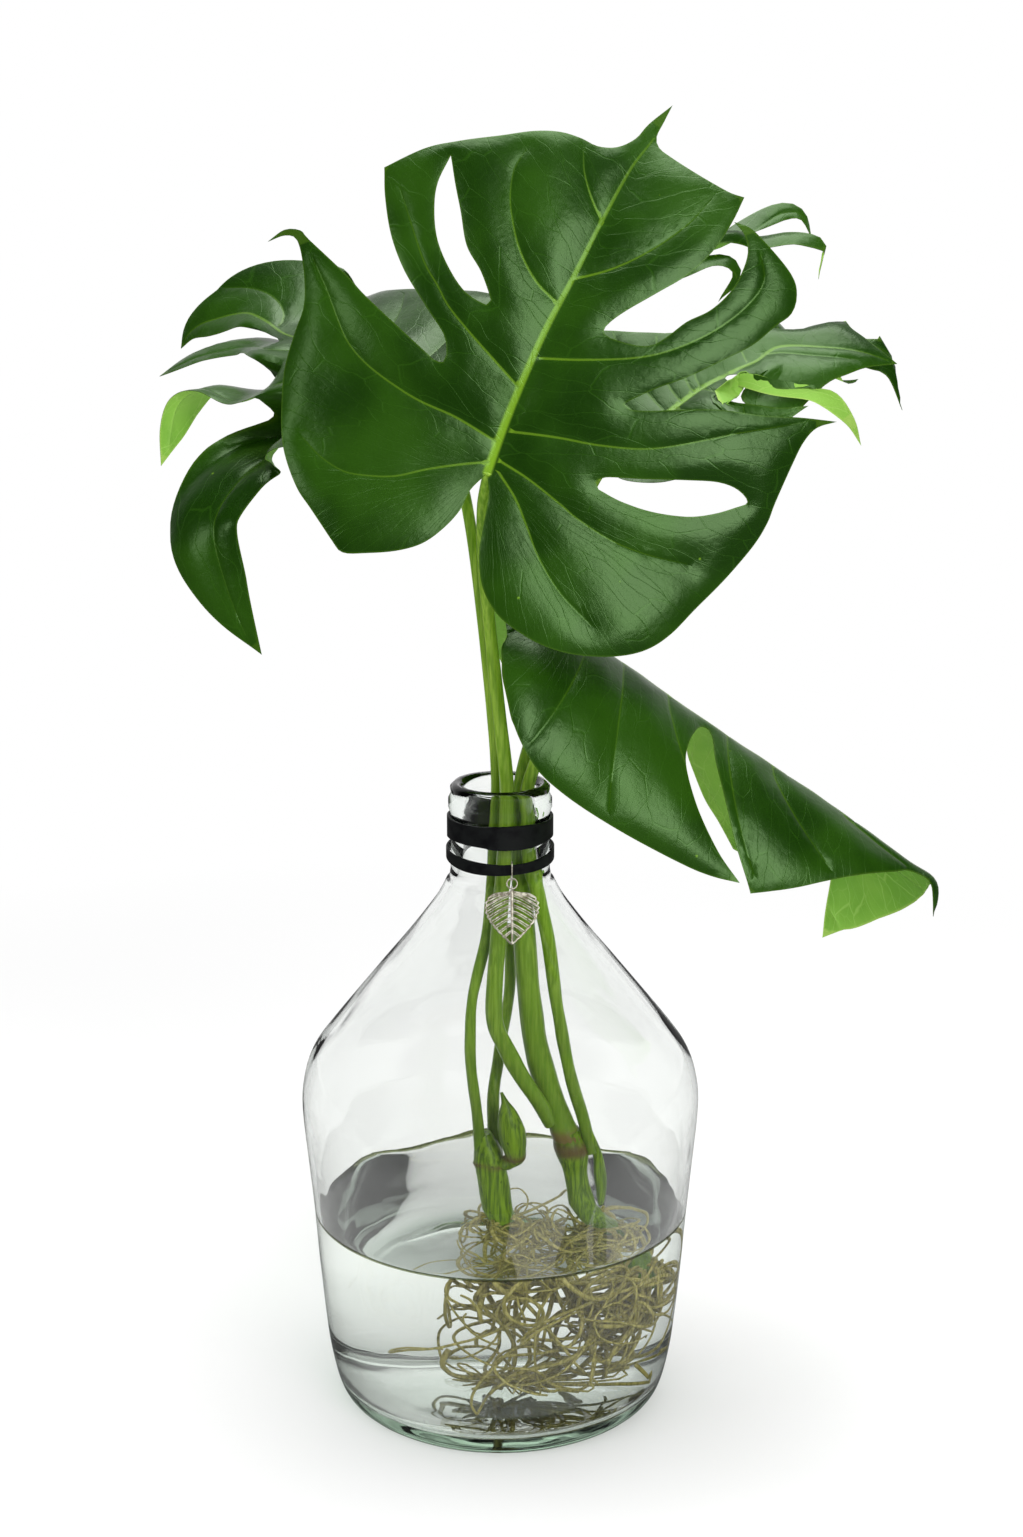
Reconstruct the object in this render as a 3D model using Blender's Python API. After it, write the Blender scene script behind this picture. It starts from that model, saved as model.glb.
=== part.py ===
"""Monstera cuttings rooting in a glass bottle vase, at real size.

The row frame is in metres: the origin is the centre of the vase's flat foot, +Z is up and
-Y is the front.  Sizes in the tables below are millimetres.  Leaves are drawn flat in leaf
space, (u, v) = (towards the tip, to the right seen on the upper face), with the petiole's
joint at (0, 0), and are then bent into the room by a Blade.
"""
import math

import bpy
import numpy as np
from mathutils import Matrix, Vector, geometry

MM = 0.001
GAP = 0.5                       # free space between pieces that touch in the real thing

# ---------------------------------------------------------------- vase, water and bands
LATHE_STEPS = 36
VASE_OUTER = [(92, 0), (97, 4), (101, 12), (105, 30), (107.5, 50), (110.5, 80), (113.5, 118),
              (117.5, 160), (119.5, 185), (118.5, 200), (114, 215), (104, 230), (72, 270),
              (55.5, 290), (44, 305), (37, 315), (31.8, 325), (29.4, 331), (29.2, 365),
              (30.6, 369), (30.6, 374), (29.4, 377), (29.4, 381), (27.0, 383.5)]
VASE_INNER = [(24.0, 383.0), (22.2, 379), (22.2, 338), (27, 325), (33, 314), (40.5, 303),
              (52, 288), (68.5, 268), (100.5, 228), (110.3, 213), (115, 198), (116, 185),
              (114, 160), (110, 118), (107, 80), (103.5, 45), (97, 22), (86, 11), (58, 10),
              (28, 16)]
PUNT_Z = 19.0                   # top of the dome inside the base
WATER_Z = 118.0

BAND_UPPER = dict(inner=29.8, outer=31.8, height=12.6, z=357.3, tilt=0.0, depth=1.0)
BAND_LOWER = dict(inner=30.8, outer=32.0, height=7.0, z=341.4, tilt=5.0, depth=1.026)

# ---------------------------------------------------------------- charm and its rings
CHARM_X = 7.0
SWING = (CHARM_X, -31.3, 333.4)          # hinge point, the middle of the jump ring's wire
CHARM_LEAN = 27.0                        # degrees from the vertical, resting on the shoulder
WIRE_R = 0.45
LOOP_R = 1.9                            # end radius of the wire loop round the lower band
LOOP_TOP = 343.2
RING_R = 3.0
BAIL_R = 1.5                             # eye on top of the charm
CHARM_LENGTH = 31.0
CHARM_HALF = 15.5
CHARM_THICK = 1.1
CHARM_VEINS = 5                          # openwork veins on each side
CHARM_RIB = 0.9                          # half width of the charm's middle rib
CHARM_RIM = 1.5                          # width of its rim
CHARM_VEIN = 0.55                        # half width of its side veins
CHARM_SWEEP = 0.34                       # how far they run down for each millimetre out

# ---------------------------------------------------------------- stems, (x, y, z, radius)
STEMS = {
    "petiole_front": [(-6.5, -40.5, 566, 3.4), (-9, -32, 548, 3.6), (-9, -21, 517, 3.7),
                      (-5, -12, 470, 3.8), (0, -10, 422, 4.0), (4, -8, 383, 4.2),
                      (3, -8, 350, 4.4), (1, -8, 322, 4.6), (-1, -11, 292, 4.8),
                      (-3, -14, 265, 4.9), (-3, -14, 240, 5.0), (4, -13, 222, 5.0),
                      (14, -11, 202, 5.0), (21, -10, 190, 4.8)],
    "petiole_left": [(-31, 18, 597, 3.4), (-25, 14, 570, 3.4), (-19, 9, 545, 3.4),
                     (-14, 6, 514, 3.4), (-10, 5, 479, 3.5), (-5, 5, 432, 3.6),
                     (-2, 6, 383, 3.6), (-4, 7, 349, 3.5), (-5, 5, 322, 3.4),
                     (-8, 0, 289, 3.4), (-14, -4, 264, 3.4), (-17, -6, 246, 3.4),
                     (-18, -8, 211, 3.4), (-15, -8, 184, 3.5), (-12, -8, 159.5, 3.8)],
    "petiole_low": [(43, 12, 464, 4.6), (32, 12, 436, 4.7), (19, 9, 405, 4.9),
                    (12, 6, 374, 5.2), (12, 5, 350, 5.6), (13, 3, 319, 6.2),
                    (15, 0, 280, 6.8), (18, 0, 244, 7.0), (23, 0, 212, 7.2),
                    (33, 0, 181, 7.6), (41, 0, 160, 8.0)],
    "petiole_right": [(78, 43, 574, 3.4), (63, 41, 566, 3.5), (52, 39, 550, 3.6),
                      (41, 34, 524, 3.6), (32, 27, 498, 3.7), (27, 18, 470, 3.8),
                      (25, 8, 445, 3.8), (26, 0, 420, 3.9), (22, -4, 400, 3.9),
                      (16, -5, 380, 4.0), (15.5, -7, 352, 4.0), (16.5, -8, 336, 4.0),
                      (21, -10, 320, 4.0), (28, -7, 289, 4.0), (33, -3, 253, 4.0),
                      (38, -1, 221, 4.0), (43, -1, 199, 4.0), (52, 0, 168, 4.0)],
    "petiole_stub": [(6, 17, 286, 3.2), (6, 15, 254, 3.4), (3, 12, 231, 3.5),
                     (-1, 8, 205, 3.6), (-4, 3, 186, 3.8), (-4, -1, 166, 4.0)],
    "stem_left": [(-8, -7, 157, 7.6), (-6, -8, 140, 8.6), (-3, -8, 122, 8.8),
                  (0, -8, 104, 7.6), (2, -8, 92, 5.0)],
    "stem_right": [(41.8, 0, 158, 8.8), (45, 0, 148, 9.4), (47, -1, 134, 7.6),
                   (51, -3, 116, 8.2), (58, -5, 100, 8.6), (66, -7, 88, 7.0)],
    "stem_side": [(54, 0, 164, 3.6), (60, 1, 150, 3.4), (62, 1, 136, 3.2), (63, 1, 122, 2.8)],
    "bud": [(3, -19, 190, 1.6), (5, -19, 182, 4.6), (6, -19, 172, 6.6), (8, -19, 162, 6.0),
            (9, -18, 155, 3.4)],
}
TUBE_SIDES = 8

# ---------------------------------------------------------------- roots
# Each root leaves the foot of a stem at a heading, sweeps round by a curl and sinks to a
# height: (foot x, y, z), reach, end height, [headings], curl.  Angles are degrees.
ROOT_R = 1.3
ROOT_LIMIT = 91.0               # how far from the middle of the vase a root can be
ROOT_FANS = [
    dict(foot=(1, -8, 92), start=8, reach=52, low=52, headings=(120, 175, 230, 285), curl=38),
    dict(foot=(64, -6, 92), start=12, reach=50, low=26, headings=(-95, -45, 5, 55, 105, 155),
         curl=42),
]

# ---------------------------------------------------------------- leaves
LEAF_THICK = 1.0
EDGE_STEP = 11.0                # spacing of points along a leaf's edge
GRID_STEP = 17.0                # spacing of points inside it


def through(points, step):
    """A smooth curve through the points, with a point about every step."""
    p = np.asarray(points, float)
    p = np.vstack([2 * p[0] - p[1], p, 2 * p[-1] - p[-2]])
    out = []
    for a, b, c, d in zip(p[:-3], p[1:-2], p[2:-1], p[3:]):
        count = max(1, round(float(np.linalg.norm(c - b)) / step))
        t = np.arange(count)[:, None] / count
        out.append(0.5 * (2 * b + (c - a) * t + (2 * a - 5 * b + 4 * c - d) * t ** 2
                          + (3 * b - a - 3 * c + d) * t ** 3))
    return np.vstack(out + [p[-2][None]])


def frames(points, faces):
    """Directions along, out of the upper face and to the right at each point of a curve."""
    run = np.gradient(points, axis=0)
    run /= np.linalg.norm(run, axis=1)[:, None]
    up = faces - (faces * run).sum(1)[:, None] * run
    up /= np.linalg.norm(up, axis=1)[:, None]
    return run, up, np.cross(run, up)


class Rail:
    """A smooth curve with a face direction at every point, read by distance along it."""

    def __init__(self, points, faces, zero=0):
        points = np.asarray(points, float)
        self.points = through(points, 3.0)
        ends = [np.argmin(np.linalg.norm(self.points - p, axis=1)) for p in points]
        steps = np.linalg.norm(np.diff(self.points, axis=0), axis=1)
        self.along = np.concatenate([[0.0], np.cumsum(steps)])
        self.length = self.along[-1]
        knots = self.along[ends]
        faces = np.asarray(faces, float)
        spread = [np.interp(self.along, knots, faces[:, i]) for i in range(3)]
        self.run, self.up, self.right = frames(self.points, np.stack(spread, 1))
        self.along -= knots[zero]

    def read(self, table, at):
        return np.stack([np.interp(at, self.along, table[:, i]) for i in range(3)], 1)

    def centre(self, at):
        over = np.clip(at - self.along[-1], 0, None)[:, None] * self.run[-1]
        under = np.clip(at - self.along[0], None, 0)[:, None] * self.run[0]
        return self.read(self.points, at) + over + under


class Blade:
    """Bends leaf space into the room.

    spine: (x, y, z) points from behind the joint to past the tip, faces: the upper face's
    direction at each, joint: which point is the joint.  left and right: (place, start,
    curl, curl growth) rows that say how each half leaves the midrib, in degrees and degrees
    per 100 mm, for places from -1 (behind the joint) through 0 to 1 (the tip).
    lobes: dicts of root and tip in leaf space, the points and faces its middle runs
    through on from the root, and an optional curl across it.
    """

    FAN = (math.radians(80), math.radians(50))   # heading of the side veins, base and tip
    BLEND = 28.0                                 # length over which a lobe leaves the blade
    SOFT = 4.0                                   # how gently one lobe gives way to the next

    def __init__(self, spine, faces, joint, length, left, right, lobes=()):
        self.rail = Rail(spine, faces, joint)
        self.length = length
        self.halves = {-1: np.array(left, float), 1: np.array(right, float)}
        self.lobes = [self.lobe(**lobe) for lobe in lobes]

    def lobe(self, root, tip, points, faces, curl=0.0):
        root, tip = np.array(root, float), np.array(tip, float)
        start = self.flat(root[None])[0]
        face = self.face(root)
        rail = Rail([start] + list(points), [face] + list(faces))
        return root, tip, rail, math.radians(curl) / 100

    def station(self, u, v):
        """Where the side vein through (u, v) leaves the midrib, from -1 to 1."""
        low, high = np.zeros_like(u), np.full_like(u, self.length)
        for _ in range(20):
            mid = (low + high) / 2
            lean = self.FAN[0] + (self.FAN[1] - self.FAN[0]) * mid / self.length
            ahead = (u - mid) * np.sin(lean) > v * np.cos(lean)
            low, high = np.where(ahead, mid, low), np.where(ahead, high, mid)
        heading = np.arctan2(v, u)
        behind = (heading - self.FAN[0]) / (math.pi - self.FAN[0])
        return np.where(behind > 0, -behind, (low + high) / 2 / self.length)

    def flat(self, uv):
        """Points of the blade before its lobes bend."""
        u, side = uv[:, 0], np.where(uv[:, 1] < 0, -1, 1)
        reach = np.abs(uv[:, 1])
        place = self.station(u, reach)
        out, rise = np.zeros_like(u), np.zeros_like(u)
        start, curl, growth = np.zeros((3, len(u)))
        for half, rows in self.halves.items():
            mine = side == half
            for target, column in ((start, 1), (curl, 2), (growth, 3)):
                target[mine] = np.interp(place[mine], rows[:, 0], np.radians(rows[:, column]))
        steps = 16
        for i in range(steps):
            x = reach * (i + 0.5) / steps / 100
            angle = start + curl * x + growth * x * x
            out += np.cos(angle) * reach / steps
            rise += np.sin(angle) * reach / steps
        return (self.rail.centre(u) + self.rail.read(self.rail.right, u) * (side * out)[:, None]
                + self.rail.read(self.rail.up, u) * rise[:, None])

    def face(self, uv):
        near = self.flat(np.array([uv, uv + (1, 0), uv + (0, 1)]))
        return np.cross(near[2] - near[0], near[1] - near[0])

    def place(self, uv):
        """Points in the room, in millimetres, for points in leaf space."""
        uv = np.asarray(uv, float)
        out = self.flat(uv)
        if not self.lobes:
            return out
        reads = [self.in_lobe(uv, *lobe) for lobe in self.lobes]
        misses = np.array([read[0] for read in reads])
        shares = np.exp((misses.min(0) - misses) / self.SOFT)
        shares /= shares.sum(0)
        moved = np.zeros_like(out)
        for share, (_, weight, bent) in zip(shares, reads):
            moved += (share * weight)[:, None] * (bent - out)
        return out + moved

    def in_lobe(self, uv, root, tip, rail, curl):
        axis = tip - root
        size = float(np.linalg.norm(axis))
        axis /= size
        along = (uv - root) @ axis
        across = (uv - root) @ np.array([-axis[1], axis[0]])
        ease = np.clip(along / self.BLEND, 0, 1)
        at = np.clip(along, 0, None) * rail.length / size
        turn = across * curl
        arc = across * np.sinc(turn / math.pi)
        drop = across * np.sin(turn / 2) * np.sinc(turn / 2 / math.pi)
        bent = (rail.centre(at) + rail.read(rail.right, at) * arc[:, None]
                + rail.read(rail.up, at) * drop[:, None])
        miss = np.abs(across) + np.clip(-along, 0, None) * 2 + np.clip(along - size, 0, None)
        return miss, ease * ease * (3 - 2 * ease), bent


LEAVES = {
    "leaf_front": dict(
        blade=dict(
            spine=[(-58, -80, 440), (-29, -62, 515), (-6, -45, 571), (27, -34, 641),
                   (62, -12, 704), (94, 22, 764)],
            faces=[(0, -0.95, 0.30), (0, -0.95, 0.30), (0, -0.95, 0.32), (0.02, -0.93, 0.36),
                   (0.04, -0.91, 0.4), (0.05, -0.90, 0.42)],
            joint=2, length=222,
            left=[(-1, 4, -14, 0), (0, 8, -20, 0), (0.5, 10, -22, 0), (1, 6, -10, 0)],
            right=[(-1, 4, -14, 0), (0, 8, -20, 0), (0.5, 10, -22, 0), (1, 6, -10, 0)]),
        edge=[
            [(-2, 0), (-14, -5), (-26, -6), (-39, -11), (-51, -19), (-60, -31), (-67, -46),
             (-71, -58), (-67, -66), (-54, -84), (-45, -96), (-27, -112), (-8, -123),
             (8, -130), (25, -133), (40, -135), (57, -145), (70, -157), (70, -166),
             (63, -175)],
            [(63, -175), (73, -168), (76, -158), (73, -150), (63, -118), (57, -102), (45, -62),
             (42, -52), (43, -47), (47, -47), (56, -53), (65, -68), (78, -89), (92, -106),
             (109, -120), (124, -129)],
            [(124, -129), (146, -112), (158, -97), (171, -77), (182, -61), (188, -48),
             (190, -36), (190, -26), (195, -16), (205, -9), (217, -6), (234, 1)],
            [(234, 1), (222, 1), (212, 1), (206, 5), (203, 14), (200, 28), (198, 41),
             (197, 52), (198, 60)],
            [(198, 60), (182, 60), (164, 58), (146, 52), (128, 41), (112, 31), (102, 26),
             (96, 25), (94, 30), (97, 45), (102, 53), (111, 58), (122, 63), (133, 71),
             (146, 76), (158, 77), (170, 75), (178, 69), (182, 61)],
            [(182, 61), (183, 70), (180, 80), (171, 102), (163, 110), (153, 112), (143, 107),
             (129, 101), (114, 91), (94, 77), (81, 66), (71, 58), (64, 53), (63, 57),
             (67, 67), (77, 85), (87, 102), (97, 124), (109, 145), (119, 165)],
            [(119, 165), (109, 156), (97, 153), (81, 153), (52, 154), (39, 155), (22, 153),
             (-5, 145), (-29, 136), (-48, 128), (-61, 118), (-71, 103), (-78, 83), (-80, 65),
             (-78, 49), (-73, 34), (-62, 21), (-47, 13), (-30, 9), (-14, 6), (-2, 0)]],
        holes=[
            [(147, -97), (128, -96), (113, -90), (99, -80), (88, -66), (81, -52), (80, -39),
             (83, -38), (94, -50), (103, -64), (118, -76), (132, -87)],
            [(15, 60), (18, 57), (23, 61), (31, 80), (41, 102), (48, 119), (49, 131),
             (45, 139), (39, 134), (30, 124), (22, 111), (16, 92), (14, 74)]]),
    "leaf_low": dict(
        blade=dict(
            spine=[(-6, 18, 500), (20, 14, 488), (44, 8, 473), (116, 0, 423), (191, -12, 374),
                   (236, -24, 343), (253, -32, 331), (251, -36, 308)],
            faces=[(0.4, 0.1, 0.9), (0.4, 0.1, 0.9), (0.4, 0.1, 0.9), (0.4, 0.05, 0.9),
                   (0.45, 0, 0.9), (0.5, -0.05, 0.85), (0.7, -0.2, 0.6), (0.8, -0.5, 0)],
            joint=2, length=262,
            left=[(-1, -10, -60, 0), (0, -10, -65, 0), (0.5, -15, -70, 0), (1, -20, -60, 0)],
            right=[(-1, -10, -60, 0), (0, -10, -65, 0), (0.5, -15, -70, 0), (1, -20, -60, 0)]),
        edge=[
            [(-2, 0), (-8, -16), (-18, -20), (-32, -19), (-45, -24), (-52, -42), (-44, -70),
             (-18, -92), (20, -102), (60, -105), (88, -104)],
            [(88, -104), (90, -80), (86, -55), (92, -45), (101, -57), (121, -75), (137, -84),
             (154, -94)],
            [(154, -94), (180, -91), (198, -84)],
            [(198, -84), (191, -60), (187, -42), (192, -37), (203, -58), (217, -92),
             (226, -110)],
            [(226, -110), (235, -92), (243, -66), (250, -36), (257, -14), (277, 0)],
            [(277, 0), (262, 5), (248, 5), (239, 8), (231, 19), (201, 55), (186, 71),
             (167, 87)],
            [(167, 87), (140, 66), (111, 34), (100, 12), (95, 8), (91, 13), (90, 30), (95, 47),
             (113, 65), (137, 79), (158, 86)],
            [(158, 86), (141, 93), (121, 98), (74, 106), (43, 109), (22, 107), (2, 96),
             (-12, 78), (-20, 61), (-34, 44), (-42, 28), (-36, 14), (-20, 6), (-2, 0)]],
        holes=[]),
    "leaf_left": dict(
        blade=dict(
            spine=[(22, -18, 590), (-29, 20, 604), (-72, 54, 621), (-115, 88, 634),
                   (-160, 122, 640)],
            faces=[(0, -0.2, 0.97), (0, -0.2, 0.97), (0, -0.2, 0.97), (-0.05, -0.1, 1),
                   (-0.1, 0, 1)],
            joint=1, length=222,
            left=[(-1, 0, -20, 0), (0, 0, -20, 0), (1, 0, -20, 0)],
            right=[(-1, 20, 0, 0), (0, 22, 0, 0), (0.4, 14, 0, 0), (0.7, 0, -20, 0),
                   (1, -5, -10, 0)],
            lobes=[
                dict(root=(120, 8), tip=(222, 0), curl=30,
                     points=[(-150, 128, 650), (-178, 142, 643), (-192, 148, 636),
                             (-200, 150, 625)],
                     faces=[(-0.2, -0.5, 0.8), (-0.4, -0.6, 0.6), (-0.6, -0.7, 0.4),
                            (-0.6, -0.7, 0.3)]),
                dict(root=(110, -28), tip=(206, -64), curl=-30,
                     points=[(-150, 100, 630), (-180, 106, 624), (-208, 110, 611)],
                     faces=[(-0.1, -0.3, 0.95), (-0.2, -0.3, 0.9), (-0.3, -0.4, 0.8)]),
                dict(root=(78, -48), tip=(170, -148), curl=0,
                     points=[(-148, 62, 602), (-174, 76, 606), (-190, 82, 596),
                             (-198, 80, 578), (-204, 76, 560)],
                     faces=[(0, -0.2, 0.95), (-0.2, 0.1, 0.95), (-0.6, 0.6, 0.5),
                            (-0.6, 0.75, 0.1), (-0.6, 0.75, 0)]),
                dict(root=(38, -55), tip=(85, -212), curl=-30,
                     points=[(-130, 34, 576), (-153, 22, 560), (-167, 4, 534),
                             (-157, -8, 500), (-136, -20, 463)],
                     faces=[(0, -0.2, 0.95), (-0.3, -0.5, 0.8), (-0.5, -0.85, 0.4),
                            (-0.2, -0.95, 0.1), (-0.2, -0.95, 0.1)])]),
        edge=[
            [(-2, 0), (-25, 6), (-46, 18), (-58, 42), (-50, 72), (-25, 88), (8, 90),
             (40, 92), (80, 86), (115, 78), (150, 62), (180, 40), (205, 16), (222, 0)],
            [(222, 0), (195, -10), (165, -14), (140, -14), (133, -18), (140, -24), (165, -32),
             (190, -46), (206, -64)],
            [(206, -64), (180, -62), (150, -56), (122, -48), (113, -49), (116, -58),
             (135, -82), (155, -110), (170, -148)],
            [(170, -148), (145, -136), (118, -115), (96, -92), (80, -76), (74, -80),
             (78, -92), (91, -120), (94, -150), (91, -185), (85, -212)],
            [(85, -212), (62, -182), (46, -150), (32, -118), (16, -84), (-4, -58),
             (-26, -40), (-36, -24), (-30, -10), (-18, -4), (-2, 0)]],
        holes=[]),
    "leaf_right": dict(
        blade=dict(
            spine=[(36, 10, 560), (82, 45, 582), (122, 68, 608), (165, 86, 626),
                   (215, 96, 630)],
            faces=[(-0.3, -0.25, 0.9), (-0.3, -0.25, 0.9), (-0.25, -0.25, 0.95),
                   (-0.1, -0.25, 0.95), (0, -0.25, 0.95)],
            joint=1, length=190,
            left=[(-1, 10, 0, 0), (0, 25, 20, 0), (0.5, 25, 20, 0), (1, 0, 0, 0)],
            right=[(-1, 0, -20, 0), (0, -5, -30, 0), (1, -10, -20, 0)],
            lobes=[
                dict(root=(80, 5), tip=(176, 20), curl=-20,
                     points=[(165, 84, 627), (190, 84, 628), (215, 86, 626),
                             (238, 88, 620)],
                     faces=[(0, -0.6, 0.8), (0, -0.6, 0.8), (0.05, -0.65, 0.75),
                            (0.1, -0.7, 0.7)]),
                dict(root=(100, -32), tip=(180, -90), curl=-20,
                     points=[(190, 114, 628), (222, 114, 627), (242, 112, 614),
                             (248, 106, 588)],
                     faces=[(0, -0.4, 0.9), (0.2, -0.6, 0.7), (0.5, -0.8, 0.2),
                            (0.5, -0.85, 0)]),
                dict(root=(62, 18), tip=(134, 100), curl=0,
                     points=[(128, 52, 616), (155, 50, 609), (186, 51, 605),
                             (205, 55, 590), (214, 60, 574)],
                     faces=[(0.2, 0.5, 0.6), (0.2, 0.9, -0.1), (0.2, 0.95, -0.2),
                            (0.4, 0.9, 0.1), (0.4, 0.9, 0.2)]),
                dict(root=(34, 32), tip=(98, 82), curl=-20,
                     points=[(122, 54, 604), (140, 48, 597), (160, 46, 594),
                             (180, 46, 598)],
                     faces=[(0, -0.6, 0.7), (0, -0.9, 0.4), (0, -0.95, 0.3),
                            (0, -0.95, 0.3)]),
                dict(root=(62, -98), tip=(152, -128), curl=20,
                     points=[(128, 155, 682), (152, 170, 697), (176, 180, 709),
                             (190, 180, 706), (196, 176, 691)],
                     faces=[(-0.3, -0.6, 0.7), (-0.3, -0.7, 0.6), (-0.1, -0.8, 0.6),
                            (0.6, -0.7, 0.3), (0.8, -0.5, 0)]),
                dict(root=(98, -97), tip=(168, -92), curl=20,
                     points=[(160, 158, 691), (182, 160, 694), (200, 160, 690),
                             (191, 155, 675)],
                     faces=[(-0.2, -0.5, 0.8), (-0.1, -0.5, 0.8), (0.3, -0.8, 0.5),
                            (0.2, -0.9, 0)]),
                dict(root=(72, -84), tip=(122, -64), curl=10,
                     points=[(128, 140, 678), (142, 140, 676), (144, 140, 668),
                             (132, 136, 655)],
                     faces=[(-0.2, -0.5, 0.8), (0.2, -0.6, 0.7), (0.7, -0.6, 0.3),
                            (0.6, -0.8, 0)])]),
        edge=[
            [(-2, 0), (-20, 5), (-38, 14), (-46, 34), (-34, 52), (-8, 58), (20, 56),
             (45, 62), (70, 74), (98, 82)],
            [(98, 82), (78, 62), (60, 50), (46, 36), (44, 28), (50, 28), (62, 38), (80, 56),
             (100, 74), (134, 100)],
            [(134, 100), (118, 74), (102, 56), (86, 40), (72, 22), (65, 6), (68, 1), (74, 6),
             (82, 18), (94, 32), (112, 40), (135, 35), (155, 27), (176, 20)],
            [(176, 20), (158, 2), (152, -14), (164, -46)],
            [(164, -46), (146, -24), (128, -14), (116, -14), (112, -20), (120, -28),
             (140, -40), (160, -58), (180, -90)],
            [(180, -90), (155, -80), (132, -64), (112, -48), (94, -38), (74, -38), (53, -55),
             (40, -70), (33, -79), (38, -87), (60, -85), (76, -78), (96, -70), (122, -64)],
            [(122, -64), (104, -80), (88, -86), (84, -91), (92, -93), (115, -89), (140, -87),
             (168, -92)],
            [(168, -92), (142, -98), (122, -101), (114, -105), (120, -109), (136, -114),
             (152, -128)],
            [(152, -128), (130, -127), (105, -122), (75, -116), (40, -112), (10, -104),
             (-20, -88), (-44, -62), (-54, -36), (-44, -14), (-25, -6), (-2, 0)]],
        holes=[]),
}


# ---------------------------------------------------------------- building helpers
def add_object(name, points, faces, smooth=False):
    """A mesh object in metres from points in millimetres."""
    mesh = bpy.data.meshes.new(name)
    mesh.from_pydata([tuple(p) for p in np.asarray(points, float) * MM], [], faces)
    mesh.validate()
    obj = bpy.data.objects.new(name, mesh)
    bpy.context.collection.objects.link(obj)
    if smooth:
        mesh.polygons.foreach_set("use_smooth", [True] * len(mesh.polygons))
    return obj


def paint(obj, colour, roughness, metallic=0.0, clear=0.0):
    material = bpy.data.materials.new(obj.name)
    material.use_nodes = True
    shader = material.node_tree.nodes["Principled BSDF"]
    shader.inputs["Base Color"].default_value = (*colour, 1.0)
    shader.inputs["Roughness"].default_value = roughness
    shader.inputs["Metallic"].default_value = metallic
    shader.inputs["Transmission Weight"].default_value = clear
    obj.data.materials.clear()
    obj.data.materials.append(material)
    return obj


def lathe(name, profile, closed=False):
    """Turn (radius, height) points about Z; a radius of 0 makes a pole."""
    points, rows = [], []
    for r, z in profile:
        first = len(points)
        if r == 0:
            points.append((0, 0, z))
            rows.append([first] * LATHE_STEPS)
            continue
        for k in range(LATHE_STEPS):
            angle = 2 * math.pi * k / LATHE_STEPS
            points.append((r * math.cos(angle), r * math.sin(angle), z))
        rows.append(list(range(first, first + LATHE_STEPS)))
    if closed:
        rows.append(rows[0])
    faces = []
    for low, high in zip(rows[:-1], rows[1:]):
        for k in range(LATHE_STEPS):
            n = (k + 1) % LATHE_STEPS
            quad = [low[k], low[n], high[n], high[k]]
            faces.append(list(dict.fromkeys(quad)))
    return add_object(name, points, faces, smooth=True)


def tube(name, path, radii, sides, closed=False):
    """Sweep a circle along a path of points, capped at both ends unless closed."""
    path = np.asarray(path, float)
    if closed:
        run = np.roll(path, -1, axis=0) - np.roll(path, 1, axis=0)
    else:
        run = np.gradient(path, axis=0)
    run /= np.linalg.norm(run, axis=1)[:, None]
    side = np.cross(run[0], (0.0, 0.0, 1.0) if abs(run[0][2]) < 0.9 else (0.0, 1.0, 0.0))
    points = []
    for centre, direction, radius in zip(path, run, radii):
        side = side - (side @ direction) * direction
        side /= np.linalg.norm(side)
        other = np.cross(direction, side)
        for k in range(sides):
            angle = 2 * math.pi * k / sides
            points.append(centre + radius * (math.cos(angle) * side + math.sin(angle) * other))
    faces = []
    count = len(path)
    for i in range(count if closed else count - 1):
        low, high = i * sides, (i + 1) % count * sides
        for k in range(sides):
            n = (k + 1) % sides
            faces.append([low + k, low + n, high + n, high + k])
    if not closed:
        faces.append(list(range(sides))[::-1])
        faces.append([(count - 1) * sides + k for k in range(sides)])
    return add_object(name, points, faces, smooth=True)


def boolean(obj, tool, operation):
    """Cut or join, then drop the tool."""
    modifier = obj.modifiers.new("cut", "BOOLEAN")
    modifier.operation = operation
    modifier.solver = "EXACT"
    modifier.object = tool
    bpy.context.view_layer.objects.active = obj
    bpy.ops.object.modifier_apply(modifier=modifier.name)
    bpy.data.objects.remove(tool, do_unlink=True)


def inside(points, loop):
    """Which points lie inside a closed loop."""
    x, y = points[:, 0][:, None], points[:, 1][:, None]
    a, b = loop, np.roll(loop, -1, axis=0)
    span = (a[:, 1] > y) != (b[:, 1] > y)
    rise = np.where(b[:, 1] == a[:, 1], 1.0, b[:, 1] - a[:, 1])
    cross = a[:, 0] + (y - a[:, 1]) * (b[:, 0] - a[:, 0]) / rise
    return (span & (x < cross)).sum(1) % 2 == 1


def flat_mesh(runs, holes, edge_step, grid_step):
    """Triangles that fill an outline made of smooth runs, less its holes."""
    rim = np.vstack([through(run, edge_step)[:-1] for run in runs])
    loops = [rim]
    for hole in holes:
        loops.append(through(list(hole) + [hole[0]], edge_step)[:-1])
    low, high = rim.min(0), rim.max(0)
    rows = np.arange(low[1], high[1], grid_step * 0.87)
    grid = [(x + (i % 2) * grid_step / 2, y)
            for i, y in enumerate(rows) for x in np.arange(low[0], high[0], grid_step)]
    grid = np.array(grid)
    keep = inside(grid, rim)
    for loop in loops[1:]:
        keep &= ~inside(grid, loop)
    edge_points = np.vstack(loops)
    grid = grid[keep]
    near = np.linalg.norm(grid[:, None] - edge_points[None], axis=2).min(1)
    grid = grid[near > grid_step * 0.45]
    edges, first = [], 0
    for loop in loops:
        count = len(loop)
        edges += [(first + i, first + (i + 1) % count) for i in range(count)]
        first += count
    points = np.vstack([edge_points, grid])
    return fill(points, edges, loops[1:])


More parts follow.
